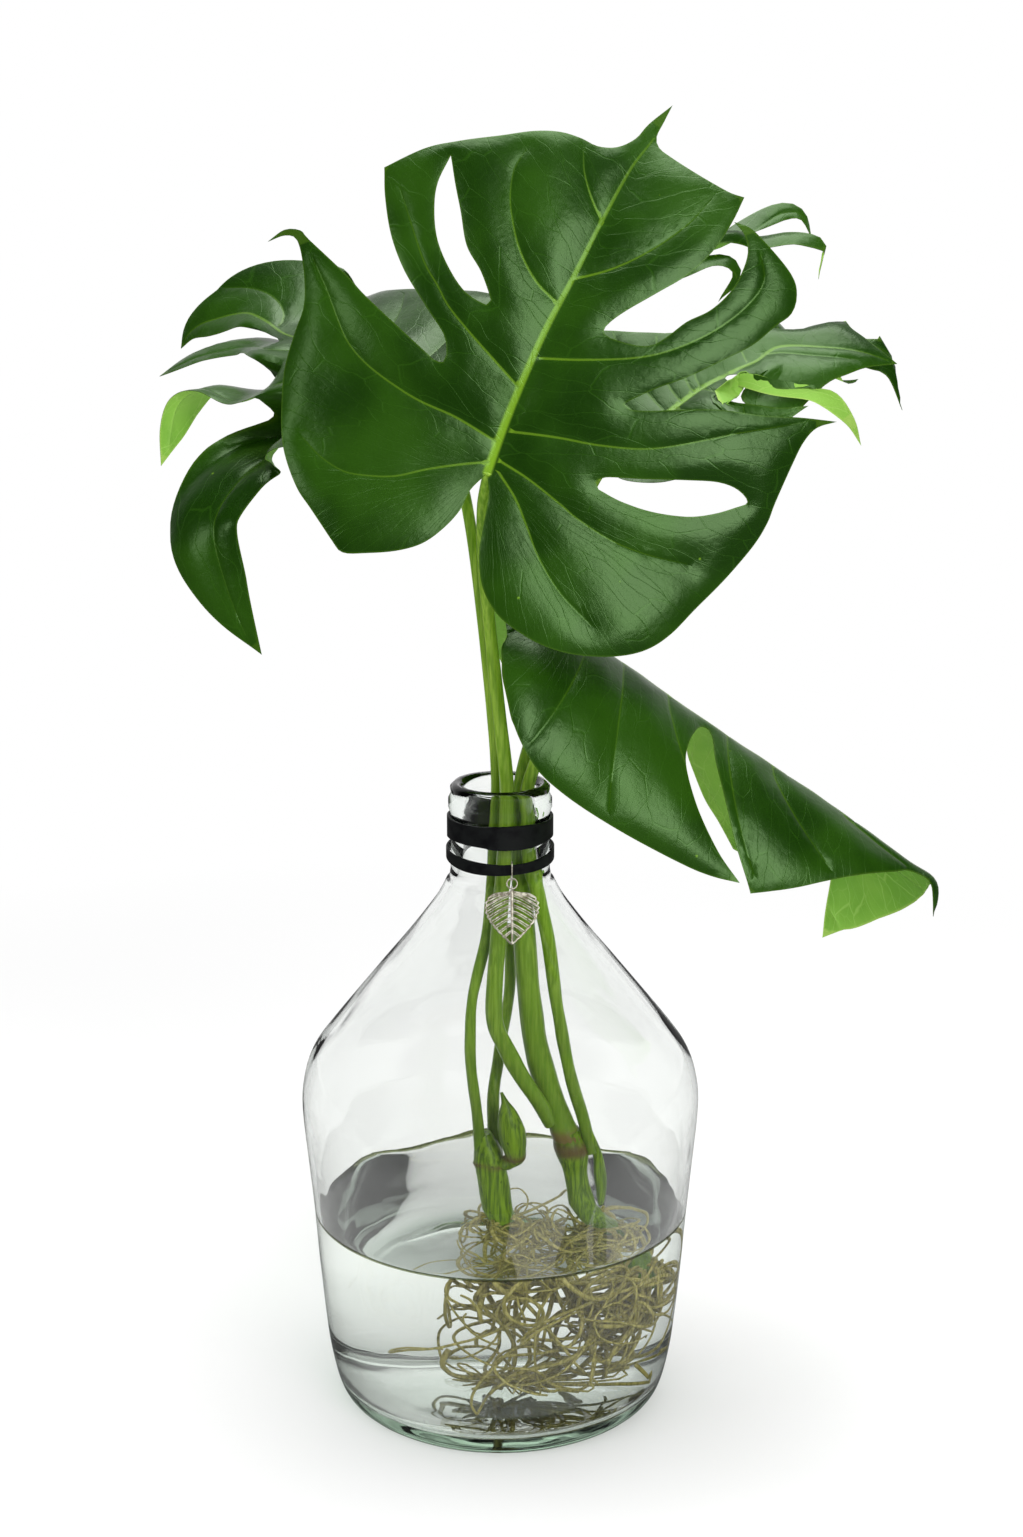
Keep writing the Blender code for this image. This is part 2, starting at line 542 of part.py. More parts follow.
def fill(points, edges, holes):
    """Triangles between the outline's edges, less those inside a hole."""
    made = geometry.delaunay_2d_cdt([Vector(p) for p in points], edges, [], 1, 1e-6)
    points = np.array([tuple(p) for p in made[0]])
    faces = np.array([list(tri) for tri in made[2]])
    middles = points[faces].mean(1)
    for hole in holes:
        keep = ~inside(middles, np.asarray(hole, float))
        faces, middles = faces[keep], middles[keep]
    a, b, c = (points[faces[:, i]] for i in range(3))
    area = (b - a)[:, 0] * (c - a)[:, 1] - (b - a)[:, 1] * (c - a)[:, 0]
    faces[area > 0] = faces[area > 0][:, ::-1]
    return points, faces.tolist()


def thicken(name, points, faces, thickness):
    """A sheet given a thickness, half to each side."""
    points = np.asarray(points, float)
    normals = np.zeros_like(points)
    for a, b, c in faces:
        normal = np.cross(points[b] - points[a], points[c] - points[a])
        for corner in (a, b, c):
            normals[corner] += normal
    normals /= np.linalg.norm(normals, axis=1)[:, None]
    count = len(points)
    both = np.vstack([points + normals * thickness / 2, points - normals * thickness / 2])
    seen = set()
    for face in faces:
        for k in range(3):
            seen.add((face[k], face[(k + 1) % 3]))
    rim = [edge for edge in sorted(seen) if edge[::-1] not in seen]
    solid = [list(face) for face in faces]
    solid += [[c + count for c in reversed(face)] for face in faces]
    solid += [[b, a, a + count, b + count] for a, b in rim]
    return add_object(name, both, solid)


# ---------------------------------------------------------------- the pieces
def make_vase():
    profile = [(0, 0)] + VASE_OUTER + VASE_INNER + [(0, PUNT_Z)]
    return paint(lathe("vase", profile), (0.86, 0.93, 0.90), 0.03, clear=1.0)


def make_water(roots):
    """Water fills the vase to its level, with room left for what stands in it."""
    level = [(r - GAP, z) for r, z in reversed(VASE_INNER) if z < WATER_Z - GAP]
    bottom = [(0, PUNT_Z + GAP)] + [(r, z + GAP * 1.2) for r, z in level]
    top_r = next(r for r, z in VASE_INNER if z == WATER_Z) - GAP
    water = lathe("water", bottom + [(top_r, WATER_Z), (0, WATER_Z)])
    for name in ("stem_left", "stem_right"):
        rows = np.array(STEMS[name])
        rows = np.vstack([rows[:-1], rows[-1] + (rows[-1] - rows[-2]) * (0.1, 0.1, 0.1, 0)])
        path = through(rows, 9)
        boolean(water, tube("cutter", path[:, :3], path[:, 3] + GAP * 2, TUBE_SIDES),
                "DIFFERENCE")
    for foot, path in roots:
        whole = np.vstack([[foot + (0, 0, 8)], path, path[-1] + (path[-1] - path[-2]) * 0.1])
        cutter = tube("cutter", whole, [ROOT_R + GAP * 1.4] * len(whole), 6)
        boolean(water, cutter, "DIFFERENCE")
    return paint(water, (0.80, 0.88, 0.84), 0.02, clear=1.0)


def root_paths():
    """(foot, path) of every root."""
    out = []
    for fan in ROOT_FANS:
        foot = np.array(fan["foot"], float)
        for i, heading in enumerate(fan["headings"]):
            path = []
            for t in np.linspace(0, 1, 7):
                angle = math.radians(heading + fan["curl"] * t * t)
                reach = fan["start"] + fan["reach"] * math.sin(math.pi / 2 * t)
                sink = (foot[2] - fan["low"] - 5 * (i % 2)) * t ** 1.3
                point = foot + (reach * math.cos(angle), reach * math.sin(angle), -sink)
                point[:2] *= min(1.0, ROOT_LIMIT / math.hypot(point[0], point[1]))
                path.append(point)
            out.append((foot, np.array(path)))
    return out


def make_roots(roots):
    for i, (_, path) in enumerate(roots, 1):
        root = tube(f"root_{i:02d}", path, [ROOT_R] * (len(path) - 1) + [ROOT_R * 0.6], 6)
        paint(root, (0.66, 0.62, 0.40), 0.6)


def make_stems():
    for name, rows in STEMS.items():
        path = through(rows, 16 if name != "bud" else 6)
        stem = tube(name, path[:, :3], path[:, 3], TUBE_SIDES)
        paint(stem, (0.30, 0.50, 0.08), 0.35)


def make_band(name, inner, outer, height, z, tilt, depth):
    half = height / 2
    band = lathe(name, [(inner, -half), (outer, -half), (outer, half), (inner, half)],
                 closed=True)
    lean = Matrix.Rotation(math.radians(tilt), 4, "X")
    stretch = Matrix.Diagonal((1.0, depth, 1.0, 1.0))
    band.data.transform(Matrix.Translation((0, 0, z * MM)) @ lean @ stretch)
    return paint(band, (0.02, 0.02, 0.02), 0.45)


def ring_path(centre, radius, steps, across, along):
    """Points of a circle in the plane of two directions."""
    centre, across, along = (np.array(d, float) for d in (centre, across, along))
    angles = np.linspace(0, 2 * math.pi, steps, endpoint=False)
    return [centre + radius * (math.cos(a) * across + math.sin(a) * along) for a in angles]


def make_wire_loop():
    """A closed wire round the front of the lower band."""
    x, y, z = SWING
    low = z - WIRE_R * 2 - 0.4 + LOOP_R
    high = LOOP_TOP - LOOP_R
    path = []
    for k in range(9):
        angle = math.pi * k / 8
        path.append((x, y - LOOP_R * math.cos(angle), high + LOOP_R * math.sin(angle)))
    for k in range(9):
        angle = math.pi * k / 8
        path.append((x, y + LOOP_R * math.cos(angle), low - LOOP_R * math.sin(angle)))
    loop = tube("wire_loop", path, [WIRE_R] * len(path), 6, closed=True)
    return paint(loop, (0.62, 0.58, 0.50), 0.3, metallic=1.0)


def hang():
    """Directions down the hanging charm and out of its front face."""
    lean = math.radians(CHARM_LEAN)
    return (np.array((0, -math.sin(lean), -math.cos(lean))),
            np.array((0, -math.cos(lean), math.sin(lean))))


def make_jump_ring():
    down, _ = hang()
    path = ring_path(np.array(SWING) + down * RING_R, RING_R, 20, (1, 0, 0), down)
    ring = tube("jump_ring", path, [WIRE_R] * len(path), 6, closed=True)
    return paint(ring, (0.62, 0.58, 0.50), 0.3, metallic=1.0)


def charm_side(t):
    """Half width of the charm's outline at t from its top to its tip."""
    return CHARM_HALF * (1 - t) ** 0.62 * min(1.0, (t + 0.055) * 4.4) ** 0.5 * 1.22


def make_charm():
    """An openwork leaf: a rim, a middle rib and side veins, under an eye."""
    right = [(CHARM_LENGTH * t, charm_side(t)) for t in np.linspace(0, 1, 12)]
    left = [(u, -v) for u, v in reversed(right)]
    holes = []
    for k in range(CHARM_VEINS):
        u0 = CHARM_LENGTH * (0.08 + 0.62 * k / CHARM_VEINS) + CHARM_VEIN
        u1 = CHARM_LENGTH * (0.08 + 0.62 * (k + 1) / CHARM_VEINS) - CHARM_VEIN
        reach = [charm_side(min(0.97, (u + 5) / CHARM_LENGTH)) - CHARM_RIM - 0.8
                 for u in (u0, u1)]
        for side in (1, -1):
            holes.append([(u0, side * CHARM_RIB),
                          (u0 + reach[0] * CHARM_SWEEP, side * reach[0]),
                          (u1 + reach[1] * CHARM_SWEEP, side * reach[1]),
                          (u1, side * CHARM_RIB)])
    down, out = hang()
    top = np.array(SWING) + down * (RING_R * 2 + 0.2 + BAIL_R * 0.9)
    points, faces = polygon_mesh(right + left[1:], holes)
    room = [top + down * u + np.array((1, 0, 0)) * v for u, v in points]
    charm = thicken("leaf_charm", room, faces, CHARM_THICK)
    eye = ring_path(np.array(SWING) + down * (RING_R * 2 + 0.2), BAIL_R, 14, out, down)
    boolean(charm, tube("eye", eye, [WIRE_R] * len(eye), 6, closed=True), "UNION")
    return paint(charm, (0.60, 0.56, 0.47), 0.35, metallic=1.0)


def polygon_mesh(rim, holes):
    """Triangles of a straight-edged outline with straight-edged holes."""
    points, edges = [], []
    for loop in [rim] + holes:
        first, count = len(points), len(loop)
        points += loop
        edges += [(first + i, first + (i + 1) % count) for i in range(count)]
    return fill(points, edges, holes)


def make_leaves():
    for name, leaf in LEAVES.items():
        flat, faces = flat_mesh(leaf["edge"], leaf["holes"], EDGE_STEP, GRID_STEP)
        blade = Blade(**leaf["blade"])
        obj = thicken(name, blade.place(flat), faces, LEAF_THICK)
        paint(obj, (0.05, 0.22, 0.03), 0.35)


def main():
    for obj in list(bpy.data.objects):
        bpy.data.objects.remove(obj, do_unlink=True)
    roots = root_paths()
    make_vase()
    make_water(roots)
    make_roots(roots)
    make_stems()
    make_band("band_upper", **BAND_UPPER)
    make_band("band_lower", **BAND_LOWER)
    make_wire_loop()
    make_jump_ring()
    make_charm()
    make_leaves()


main()
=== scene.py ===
# %% [markdown]
# # Monstera cuttings in a bottle vase
#
# Four split leaves stand on long stalks in the neck of a thick glass bottle. The cuttings have rooted
# in the water, and a small metal leaf hangs from the narrower of two rubber bands on the neck.
#
# The measured model is loaded first as a fixed frame. It says where each piece is. Everything that is
# seen is then built finer round it: blown glass with a real wall, water that wets the glass, leaves
# with sunken veins and pale edges, a tangle of roots, and an openwork charm.

# %% load the frame
import math

import bpy
import numpy as np
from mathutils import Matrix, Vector, geometry, noise


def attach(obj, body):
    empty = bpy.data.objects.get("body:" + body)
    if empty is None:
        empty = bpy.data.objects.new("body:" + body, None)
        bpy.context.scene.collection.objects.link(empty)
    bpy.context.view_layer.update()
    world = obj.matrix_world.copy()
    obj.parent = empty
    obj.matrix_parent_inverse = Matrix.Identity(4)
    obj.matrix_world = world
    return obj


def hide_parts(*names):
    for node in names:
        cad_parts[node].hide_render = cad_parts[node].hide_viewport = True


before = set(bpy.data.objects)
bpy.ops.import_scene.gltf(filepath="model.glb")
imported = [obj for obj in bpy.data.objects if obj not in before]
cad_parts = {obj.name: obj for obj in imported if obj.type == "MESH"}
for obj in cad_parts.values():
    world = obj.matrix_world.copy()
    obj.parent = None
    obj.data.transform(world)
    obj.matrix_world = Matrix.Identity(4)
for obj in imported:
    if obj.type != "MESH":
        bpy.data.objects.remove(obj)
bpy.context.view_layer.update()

MM = 0.001
PLANT, CHARM = "plant_and_vase", "charm"

# %% [markdown]
# ## Helpers
#
# An operator works on whatever is selected, and the frame comes in selected. So every step starts
# with nothing selected, and a new piece is made the one active object before it is shaped.

# %% selecting and finishing a piece
def clear_selection():
    """Leaves edit mode and selects nothing."""
    if bpy.context.object and bpy.context.object.mode != "OBJECT":
        bpy.ops.object.mode_set(mode="OBJECT")
    bpy.ops.object.select_all(action="DESELECT")


def take(obj):
    """Makes obj the one selected and active object."""
    clear_selection()
    obj.select_set(True)
    bpy.context.view_layer.objects.active = obj
    return obj


def finish_piece(obj, body, stands_for, slot, *materials, angle=None):
    """Shades a piece, gives it its materials and puts it on its body in place of CAD nodes."""
    take(obj)
    if angle is None:
        bpy.ops.object.shade_smooth()
    else:
        bpy.ops.object.shade_smooth_by_angle(angle=math.radians(angle))
    for material in materials:
        obj.data.materials.append(material)
    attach(obj, body)
    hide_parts(*stands_for)
    clear_selection()
    low, high = bounds_mm(obj)
    print(f"{obj.name}: {len(obj.data.polygons)} faces, {low} to {high} mm")
    return obj


def bounds_mm(obj):
    """Lowest and highest corner of a piece, in whole millimetres."""
    points = np.array([v.co for v in obj.data.vertices]) / MM
    return points.min(0).round().astype(int).tolist(), points.max(0).round().astype(int).tolist()


def new_mesh(name, points, edges, faces):
    """A mesh object in metres from points in millimetres."""
    mesh = bpy.data.meshes.new(name)
    mesh.from_pydata([tuple(p) for p in np.asarray(points, float) * MM], edges, faces)
    obj = bpy.data.objects.new(name, mesh)
    bpy.context.collection.objects.link(obj)
    return obj


# %% [markdown]
# Most lines here are a few points that a smooth curve passes through. The curve is a Catmull-Rom
# spline: it needs no handles, and it goes through every point that is given.

# %% smooth curves through points
def through(points, step):
    """A smooth curve through the points, with a point about every step."""
    p = np.asarray(points, float)
    p = np.vstack([2 * p[0] - p[1], p, 2 * p[-1] - p[-2]])
    out = []
    for a, b, c, d in zip(p[:-3], p[1:-2], p[2:-1], p[3:]):
        count = max(1, round(float(np.linalg.norm((c - b)[:3])) / step))
        t = np.arange(count)[:, None] / count
        out.append(0.5 * (2 * b + (c - a) * t + (2 * a - 5 * b + 4 * c - d) * t ** 2
                          + (3 * b - a - 3 * c + d) * t ** 3))
    return np.vstack(out + [p[-2][None]])


# %% [markdown]
# A turned piece starts as a drawn profile of points joined by edges. In edit mode, Spin sweeps the
# profile round the Z axis, and Merge by Distance closes the seam and the pole. This is quicker to
# correct than pushing a cylinder into shape, because only the profile has to be changed.

# %% turned pieces and swept pieces
def turned(name, profile, steps):
    """Spins a profile of (radius, height) points round Z into a closed mesh."""
    edges = [(i, i + 1) for i in range(len(profile) - 1)]
    obj = take(new_mesh(name, [(r, 0, z) for r, z in profile], edges, []))
    bpy.ops.object.mode_set(mode="EDIT")
    bpy.ops.mesh.select_all(action="SELECT")
    bpy.ops.mesh.spin(steps=steps, angle=math.tau, center=(0, 0, 0), axis=(0, 0, 1))
    bpy.ops.mesh.select_all(action="SELECT")
    bpy.ops.mesh.remove_doubles(threshold=0.00002)
    bpy.ops.mesh.normals_make_consistent(inside=False)
    bpy.ops.object.mode_set(mode="OBJECT")
    return obj


def swept(name, lines, roundness, closed=False):
    """Sweeps a round section along lines of (x, y, z, radius) rows, in millimetres, as one mesh."""
    curve = bpy.data.curves.new(name, "CURVE")
    curve.dimensions = "3D"
    curve.bevel_depth = MM
    curve.bevel_resolution = roundness
    curve.use_fill_caps = True
    for rows in lines:
        spline = curve.splines.new("POLY")
        spline.points.add(len(rows) - 1)
        spline.use_cyclic_u = closed
        for point, row in zip(spline.points, rows):
            point.co = (row[0] * MM, row[1] * MM, row[2] * MM, 1.0)
            point.radius = row[3]
    obj = bpy.data.objects.new(name, curve)
    bpy.context.collection.objects.link(obj)
    take(obj)
    bpy.ops.object.convert(target="MESH")
    obj = bpy.context.object
    obj.data.name = name
    return obj


def move_points(obj, move):
    """Moves every vertex by what move(points) gives, in millimetres."""
    count = len(obj.data.vertices)
    flat = np.zeros(count * 3)
    obj.data.vertices.foreach_get("co", flat)
    points = flat.reshape(-1, 3) / MM
    points = points + move(points)
    obj.data.vertices.foreach_set("co", (points * MM).ravel())
    obj.data.update()


def lumps(points, size, seed):
    """Smooth noise from -1 to 1 at each point, with lumps of about that size in millimetres."""
    shift = Vector((seed * 7.3, seed * 3.1, seed * 5.7))
    return np.array([noise.noise(Vector(p) / size + shift) for p in points])


# %% [markdown]
# ## Camera and stage
#
# The camera stands a little above the mouth of the bottle and looks down by about fourteen degrees,
# so the water shows as an ellipse and the leaves are seen from their upper side. The stage is a plain
# white floor. The room is bright behind the bottle and dimmer in front of it, because clear glass
# shows only by what it bends and mirrors, and needs something darker to draw its edges with.

# %% camera, floor, room and lamps
camera = bpy.data.objects.new("camera", bpy.data.cameras.new("camera"))
bpy.context.collection.objects.link(camera)
camera.location = (0.0067, -1.35, 0.718)
camera.rotation_euler = (math.radians(76.4), 0, 0)
camera.data.lens = 55.5
camera.data.sensor_width = 36
bpy.context.scene.camera = camera
bpy.context.scene.view_settings.view_transform = "Standard"


def tree_of(block):
    """The emptied node tree of a material or world."""
    block.use_nodes = True
    block.node_tree.nodes.clear()
    return block.node_tree


def put(tree, kind, inputs=None, **settings):
    """Adds a shader node, with its settings, and its inputs set or linked."""
    made = tree.nodes.new("ShaderNode" + kind)
    for key, value in settings.items():
        setattr(made, key, value)
    for key, value in (inputs or {}).items():
        if isinstance(value, bpy.types.NodeSocket):
            tree.links.new(value, made.inputs[key])
        else:
            made.inputs[key].default_value = value
    return made


def mix(tree, factor, below, above):
    """A colour mixed over another."""
    made = put(tree, "Mix", data_type="RGBA")
    for index, value in ((0, factor), (6, below), (7, above)):
        if isinstance(value, bpy.types.NodeSocket):
            tree.links.new(value, made.inputs[index])
        else:
            made.inputs[index].default_value = value if index == 0 else (*value, 1.0)
    return made.outputs[2]


def ramp(tree, factor, stops):
    """A colour ramp through (place, colour) stops."""
    made = put(tree, "ValToRGB", {"Fac": factor})
    elements = made.color_ramp.elements
    while len(elements) < len(stops):
        elements.new(0.5)
    for element, (place, colour) in zip(elements, stops):
        element.position = place
        element.color = colour if len(colour) == 4 else (*colour, 1.0)
    return made.outputs["Color"]


def make_room():
    """A white sweep to the camera. Mirrored rays see a room that is dark but for its back, and rays
    bent through the glass see one that is dim in front and bright at the back."""
    world = bpy.data.worlds.new("room")
    bpy.context.scene.world = world
    tree = tree_of(world)
    place = put(tree, "TexCoord").outputs["Generated"]
    back = put(tree, "SeparateXYZ", {"Vector": place}).outputs["Y"]
    share = put(tree, "MapRange", {"Value": back, "From Min": -1.0, "From Max": 1.0})
    share = share.outputs["Result"]
    rays = put(tree, "LightPath").outputs
    tone = mix(tree, rays["Is Glossy Ray"], (AMBIENT,) * 3, ramp(tree, share, MIRRORED))
    tone = mix(tree, rays["Is Transmission Ray"], tone, ramp(tree, share, BENT))
    tone = mix(tree, rays["Is Camera Ray"], tone, (1.0, 1.0, 1.0))
    glow = put(tree, "Background", {"Color": tone, "Strength": 1.0})
    put(tree, "OutputWorld", {"Surface": glow.outputs["Background"]})


def add_lamp(name, place, aim, size, watts, colour=(1, 1, 1)):
    """A soft rectangular lamp that faces a point."""
    lamp = bpy.data.objects.new(name, bpy.data.lights.new(name, "AREA"))
    bpy.context.collection.objects.link(lamp)
    lamp.data.shape = "RECTANGLE"
    lamp.data.size, lamp.data.size_y = size
    lamp.data.energy = watts
    lamp.data.color = colour
    lamp.visible_camera = False
    lamp.location = place
    lamp.rotation_euler = (Vector(aim) - Vector(place)).to_track_quat("-Z", "Y").to_euler()
    return lamp


def grey(tone):
    return (tone, tone, tone)


AMBIENT = 0.60
MIRRORED = [(0.0, grey(0.02)), (0.62, grey(0.03)), (0.80, grey(0.55)), (1.0, grey(0.9))]
BENT = [(0.0, grey(0.26)), (0.40, grey(0.30)), (0.56, grey(0.62)), (0.72, grey(0.58)),
        (0.86, grey(0.70)), (0.91, grey(0.97)), (1.0, grey(0.97))]
make_room()
add_lamp("front", (0.90, -1.90, 1.35), (0, 0, 0.58), (1.0, 1.7), 40)
add_lamp("left", (-1.50, -1.10, 1.35), (0, 0, 0.60), (0.5, 0.6), 5)
add_lamp("top", (0.1, 0.3, 2.1), (0, 0, 0.3), (1.2, 1.2), 26)


def make_floor():
    """Paper that catches shadows near the bottle and is plain white further off. Mirrored rays see
    it dull, and so do rays bent through the glass to the part of it in front."""
    clear_selection()
    bpy.ops.mesh.primitive_plane_add(size=12, location=(0, 0, 0))
    floor = bpy.context.object
    floor.name = "floor"
    material = bpy.data.materials.new("floor_white")
    tree = tree_of(material)
    place = put(tree, "TexCoord").outputs["Object"]
    reach = put(tree, "VectorMath", {0: place}, operation="LENGTH").outputs["Value"]
    far = put(tree, "MapRange", {"Value": reach, "From Min": PLAIN_FROM[0],
                                "From Max": PLAIN_FROM[1]})
    paper = put(tree, "BsdfDiffuse", {"Color": (*grey(PAPER), 1)})
    glow = put(tree, "Emission", {"Color": (1, 1, 1, 1), "Strength": 1.0})
    seen = put(tree, "MixShader", {0: far.outputs["Result"], 1: paper.outputs["BSDF"],
                                   2: glow.outputs["Emission"]})
    dull = put(tree, "BsdfDiffuse", {"Color": (*grey(DULL_PAPER), 1)})
    rays = put(tree, "LightPath").outputs
    depth = put(tree, "SeparateXYZ", {"Vector": place}).outputs["Y"]
    behind = put(tree, "MapRange", {"Value": depth, "From Min": FRONT_EDGE[0],
                                   "From Max": FRONT_EDGE[1]})
    seen_through = put(tree, "Math", {0: rays["Is Transmission Ray"],
                                      1: behind.outputs["Result"]}, operation="MULTIPLY")
    mirrored = put(tree, "Math", {0: rays["Is Glossy Ray"], 1: seen_through.outputs["Value"]},
                   operation="SUBTRACT", use_clamp=True)
    both = put(tree, "MixShader", {0: mirrored.outputs["Value"], 1: seen.outputs["Shader"],
                                   2: dull.outputs["BSDF"]})
    put(tree, "OutputMaterial", {"Surface": both.outputs["Shader"]})
    floor.data.materials.append(material)


PAPER, DULL_PAPER = 0.84, 0.12   # grey of the floor, and as mirrored rays see it
PLAIN_FROM = (0.25, 1.2)         # metres from the bottle over which the floor turns plain white
FRONT_EDGE = (-0.35, -0.15)      # where, front to back, bent rays stop seeing the dull paper
make_floor()

# %% [markdown]
# ## Finishes
#
# A pattern that more than one finish needs is a node group with named sockets. The first one is the
# fine net of veins in a leaf. It reads the leaf's own map, whose first axis counts side veins along
# the midrib and whose second runs out along them, so the net stretches the way the leaf grew.

# %% the net of fine veins
def new_group(name, inputs, outputs):
    """An empty node group with (socket type, name) inputs and outputs."""
    tree = bpy.data.node_groups.new(name, "ShaderNodeTree")
    for kind, label in inputs:
        tree.interface.new_socket(label, in_out="INPUT", socket_type="NodeSocket" + kind)
    for kind, label in outputs:
        tree.interface.new_socket(label, in_out="OUTPUT", socket_type="NodeSocket" + kind)
    return tree, tree.nodes.new("NodeGroupInput"), tree.nodes.new("NodeGroupOutput")


def use_group(tree, group, inputs=None):
    made = tree.nodes.new("ShaderNodeGroup")
    made.node_tree = group
    for key, value in (inputs or {}).items():
        if isinstance(value, bpy.types.NodeSocket):
            tree.links.new(value, made.inputs[key])
        else:
            made.inputs[key].default_value = value
    return made


def fade(tree, value, start, end, smooth=True):
    """1 where value is under start, 0 where it is over end."""
    return put(tree, "MapRange", {"Value": value, "From Min": start, "From Max": end,
                                  "To Min": 1.0, "To Max": 0.0},
               interpolation_type="SMOOTHSTEP" if smooth else "LINEAR").outputs["Result"]


def make_leaf_net():
    """Fine veins, their relief, broad patches and pale specks, all from 0 to 1."""
    tree, entry, leave = new_group(
        "leaf_net", [("Vector", "Vein Map"), ("Vector", "Place")],
        [("Float", "Net"), ("Float", "Patches"), ("Float", "Specks"), ("Float", "Relief")])
    wander = put(tree, "TexNoise", {"Vector": entry.outputs["Place"], "Scale": 38.0,
                                    "Detail": 2.0})
    shift = put(tree, "VectorMath", {0: wander.outputs["Color"], 1: (0.5, 0.5, 0.5)},
                operation="SUBTRACT")
    bent = put(tree, "VectorMath", {0: shift.outputs["Vector"], 1: (0.10, 0.16, 0.0),
                                    2: entry.outputs["Vein Map"]}, operation="MULTIPLY_ADD")
    nets = []
    for stretch, line in (((9.0, 2.6, 1.0), 0.028), ((20.0, 9.0, 1.0), 0.05)):
        cells = put(tree, "VectorMath", {0: bent.outputs["Vector"], 1: stretch},
                    operation="MULTIPLY")
        net = put(tree, "TexVoronoi", {"Vector": cells.outputs["Vector"], "Scale": 1.0},
                  feature="DISTANCE_TO_EDGE", voronoi_dimensions="2D")
        nets.append(fade(tree, net.outputs["Distance"], 0.0, line))
    faint = put(tree, "Math", {0: nets[1], 1: 0.35}, operation="MULTIPLY")
    both = put(tree, "Math", {0: nets[0], 1: faint.outputs["Value"]}, operation="MAXIMUM")
    patches = put(tree, "TexNoise", {"Vector": entry.outputs["Place"], "Scale": 14.0,
                                     "Detail": 3.0})
    dots = put(tree, "TexVoronoi", {"Vector": entry.outputs["Place"], "Scale": 90.0})
    rare = put(tree, "Math", {0: put(tree, "SeparateColor", {"Color": dots.outputs["Color"]})
                              .outputs["Red"], 1: 0.93}, operation="GREATER_THAN")
    specks = put(tree, "Math", {0: fade(tree, dots.outputs["Distance"], 0.04, 0.09),
                                1: rare.outputs["Value"]}, operation="MULTIPLY")
    grain = put(tree, "TexNoise", {"Vector": entry.outputs["Place"], "Scale": 260.0,
                                   "Detail": 2.0})
    relief = put(tree, "Math", {0: both.outputs["Value"], 1: -0.35,
                                2: grain.outputs["Fac"]}, operation="MULTIPLY_ADD")
    for label, socket in (("Net", both.outputs["Value"]), ("Patches", patches.outputs["Fac"]),
                          ("Specks", specks.outputs["Value"]),
                          ("Relief", relief.outputs["Value"])):
        tree.links.new(socket, leave.inputs[label])
    return tree


def times(tree, value, by):
    return put(tree, "Math", {0: value, 1: by}, operation="MULTIPLY").outputs["Value"]


def surface(material, tree, inputs, volume=None):
    """The Principled shader of a finish, joined to its output."""
    shader = put(tree, "BsdfPrincipled", inputs)
    out = put(tree, "OutputMaterial", {"Surface": shader.outputs["BSDF"]})
    if volume is not None:
        tree.links.new(volume, out.inputs["Volume"])
    return material


# %% [markdown]
# A leaf has two finishes. The upper side is deep green under a wax that mirrors light softly, with
# pale veins sunk in it. The underside is a light yellow-green and nearly matt. Both take the rib and
# edge lines from numbers stored on the mesh: the distance to the nearest vein, as a share of the
# vein's width, and the distance to the margin.

# %% leaf finishes
LEAF_NET = make_leaf_net()


def leaf_finish(name, dark, light, net, rib, rim, gloss, depth, net_share, mirror, sheen):
    material = bpy.data.materials.new(name)
    tree = tree_of(material)
    place = put(tree, "TexCoord").outputs["Object"]
    vein_map = put(tree, "UVMap", uv_map="veins").outputs["UV"]
    marks = use_group(tree, LEAF_NET, {"Vein Map": vein_map, "Place": place}).outputs
    to_rib = put(tree, "Attribute", attribute_name="rib").outputs["Fac"]
    glow = put(tree, "Attribute", attribute_name="glow").outputs["Fac"]
    to_rim = put(tree, "Attribute", attribute_name="rim").outputs["Fac"]
    colour = mix(tree, fade(tree, marks["Patches"], 0.64, 0.36), dark, light)
    colour = mix(tree, times(tree, marks["Net"], net_share), colour, net)
    colour = mix(tree, times(tree, fade(tree, to_rib, 0.9, 5.0), 0.12), colour, net)
    colour = mix(tree, times(tree, fade(tree, to_rib, 0.45, 1.3), glow), colour, rib)
    colour = mix(tree, times(tree, fade(tree, to_rim, 0.2, 1.1), 0.6), colour, rim)
    colour = mix(tree, times(tree, marks["Specks"], 0.6), colour, rib)
    shine = put(tree, "MapRange", {"Value": marks["Patches"], "From Min": 0.3, "From Max": 0.7,
                                   "To Min": gloss[0], "To Max": gloss[1]}).outputs["Result"]
    bump = put(tree, "Bump", {"Height": marks["Relief"], "Distance": depth, "Strength": 0.5})
    return surface(material, tree, {"Base Color": colour, "Roughness": shine,
                                    "Normal": bump.outputs["Normal"],
                                    "Specular IOR Level": mirror,
                                    "Specular Tint": (*sheen, 1)})


LEAF_TOP = leaf_finish("leaf_upper_side", (0.0050, 0.026, 0.0002), (0.0140, 0.056, 0.0006),
                       (0.024, 0.085, 0.003), (0.150, 0.290, 0.012), (0.040, 0.095, 0.004),
                       (0.26, 0.34), 0.0003, 0.30, 0.42, (0.62, 1.0, 0.46))
LEAF_UNDER = leaf_finish("leaf_underside", (0.130, 0.330, 0.024), (0.230, 0.460, 0.055),
                         (0.330, 0.560, 0.110), (0.420, 0.600, 0.160), (0.350, 0.520, 0.100),
                         (0.50, 0.62), 0.0005, 0.45, 0.30, (1.0, 1.0, 1.0))
print("leaf finishes made")

# %% [markdown]
# Stalks, stems and roots share one fibrous grain: fine streaks that run along Z, broken by a coarser
# tone, with a few dark pores. One group gives those masks, and each finish has its own colours.

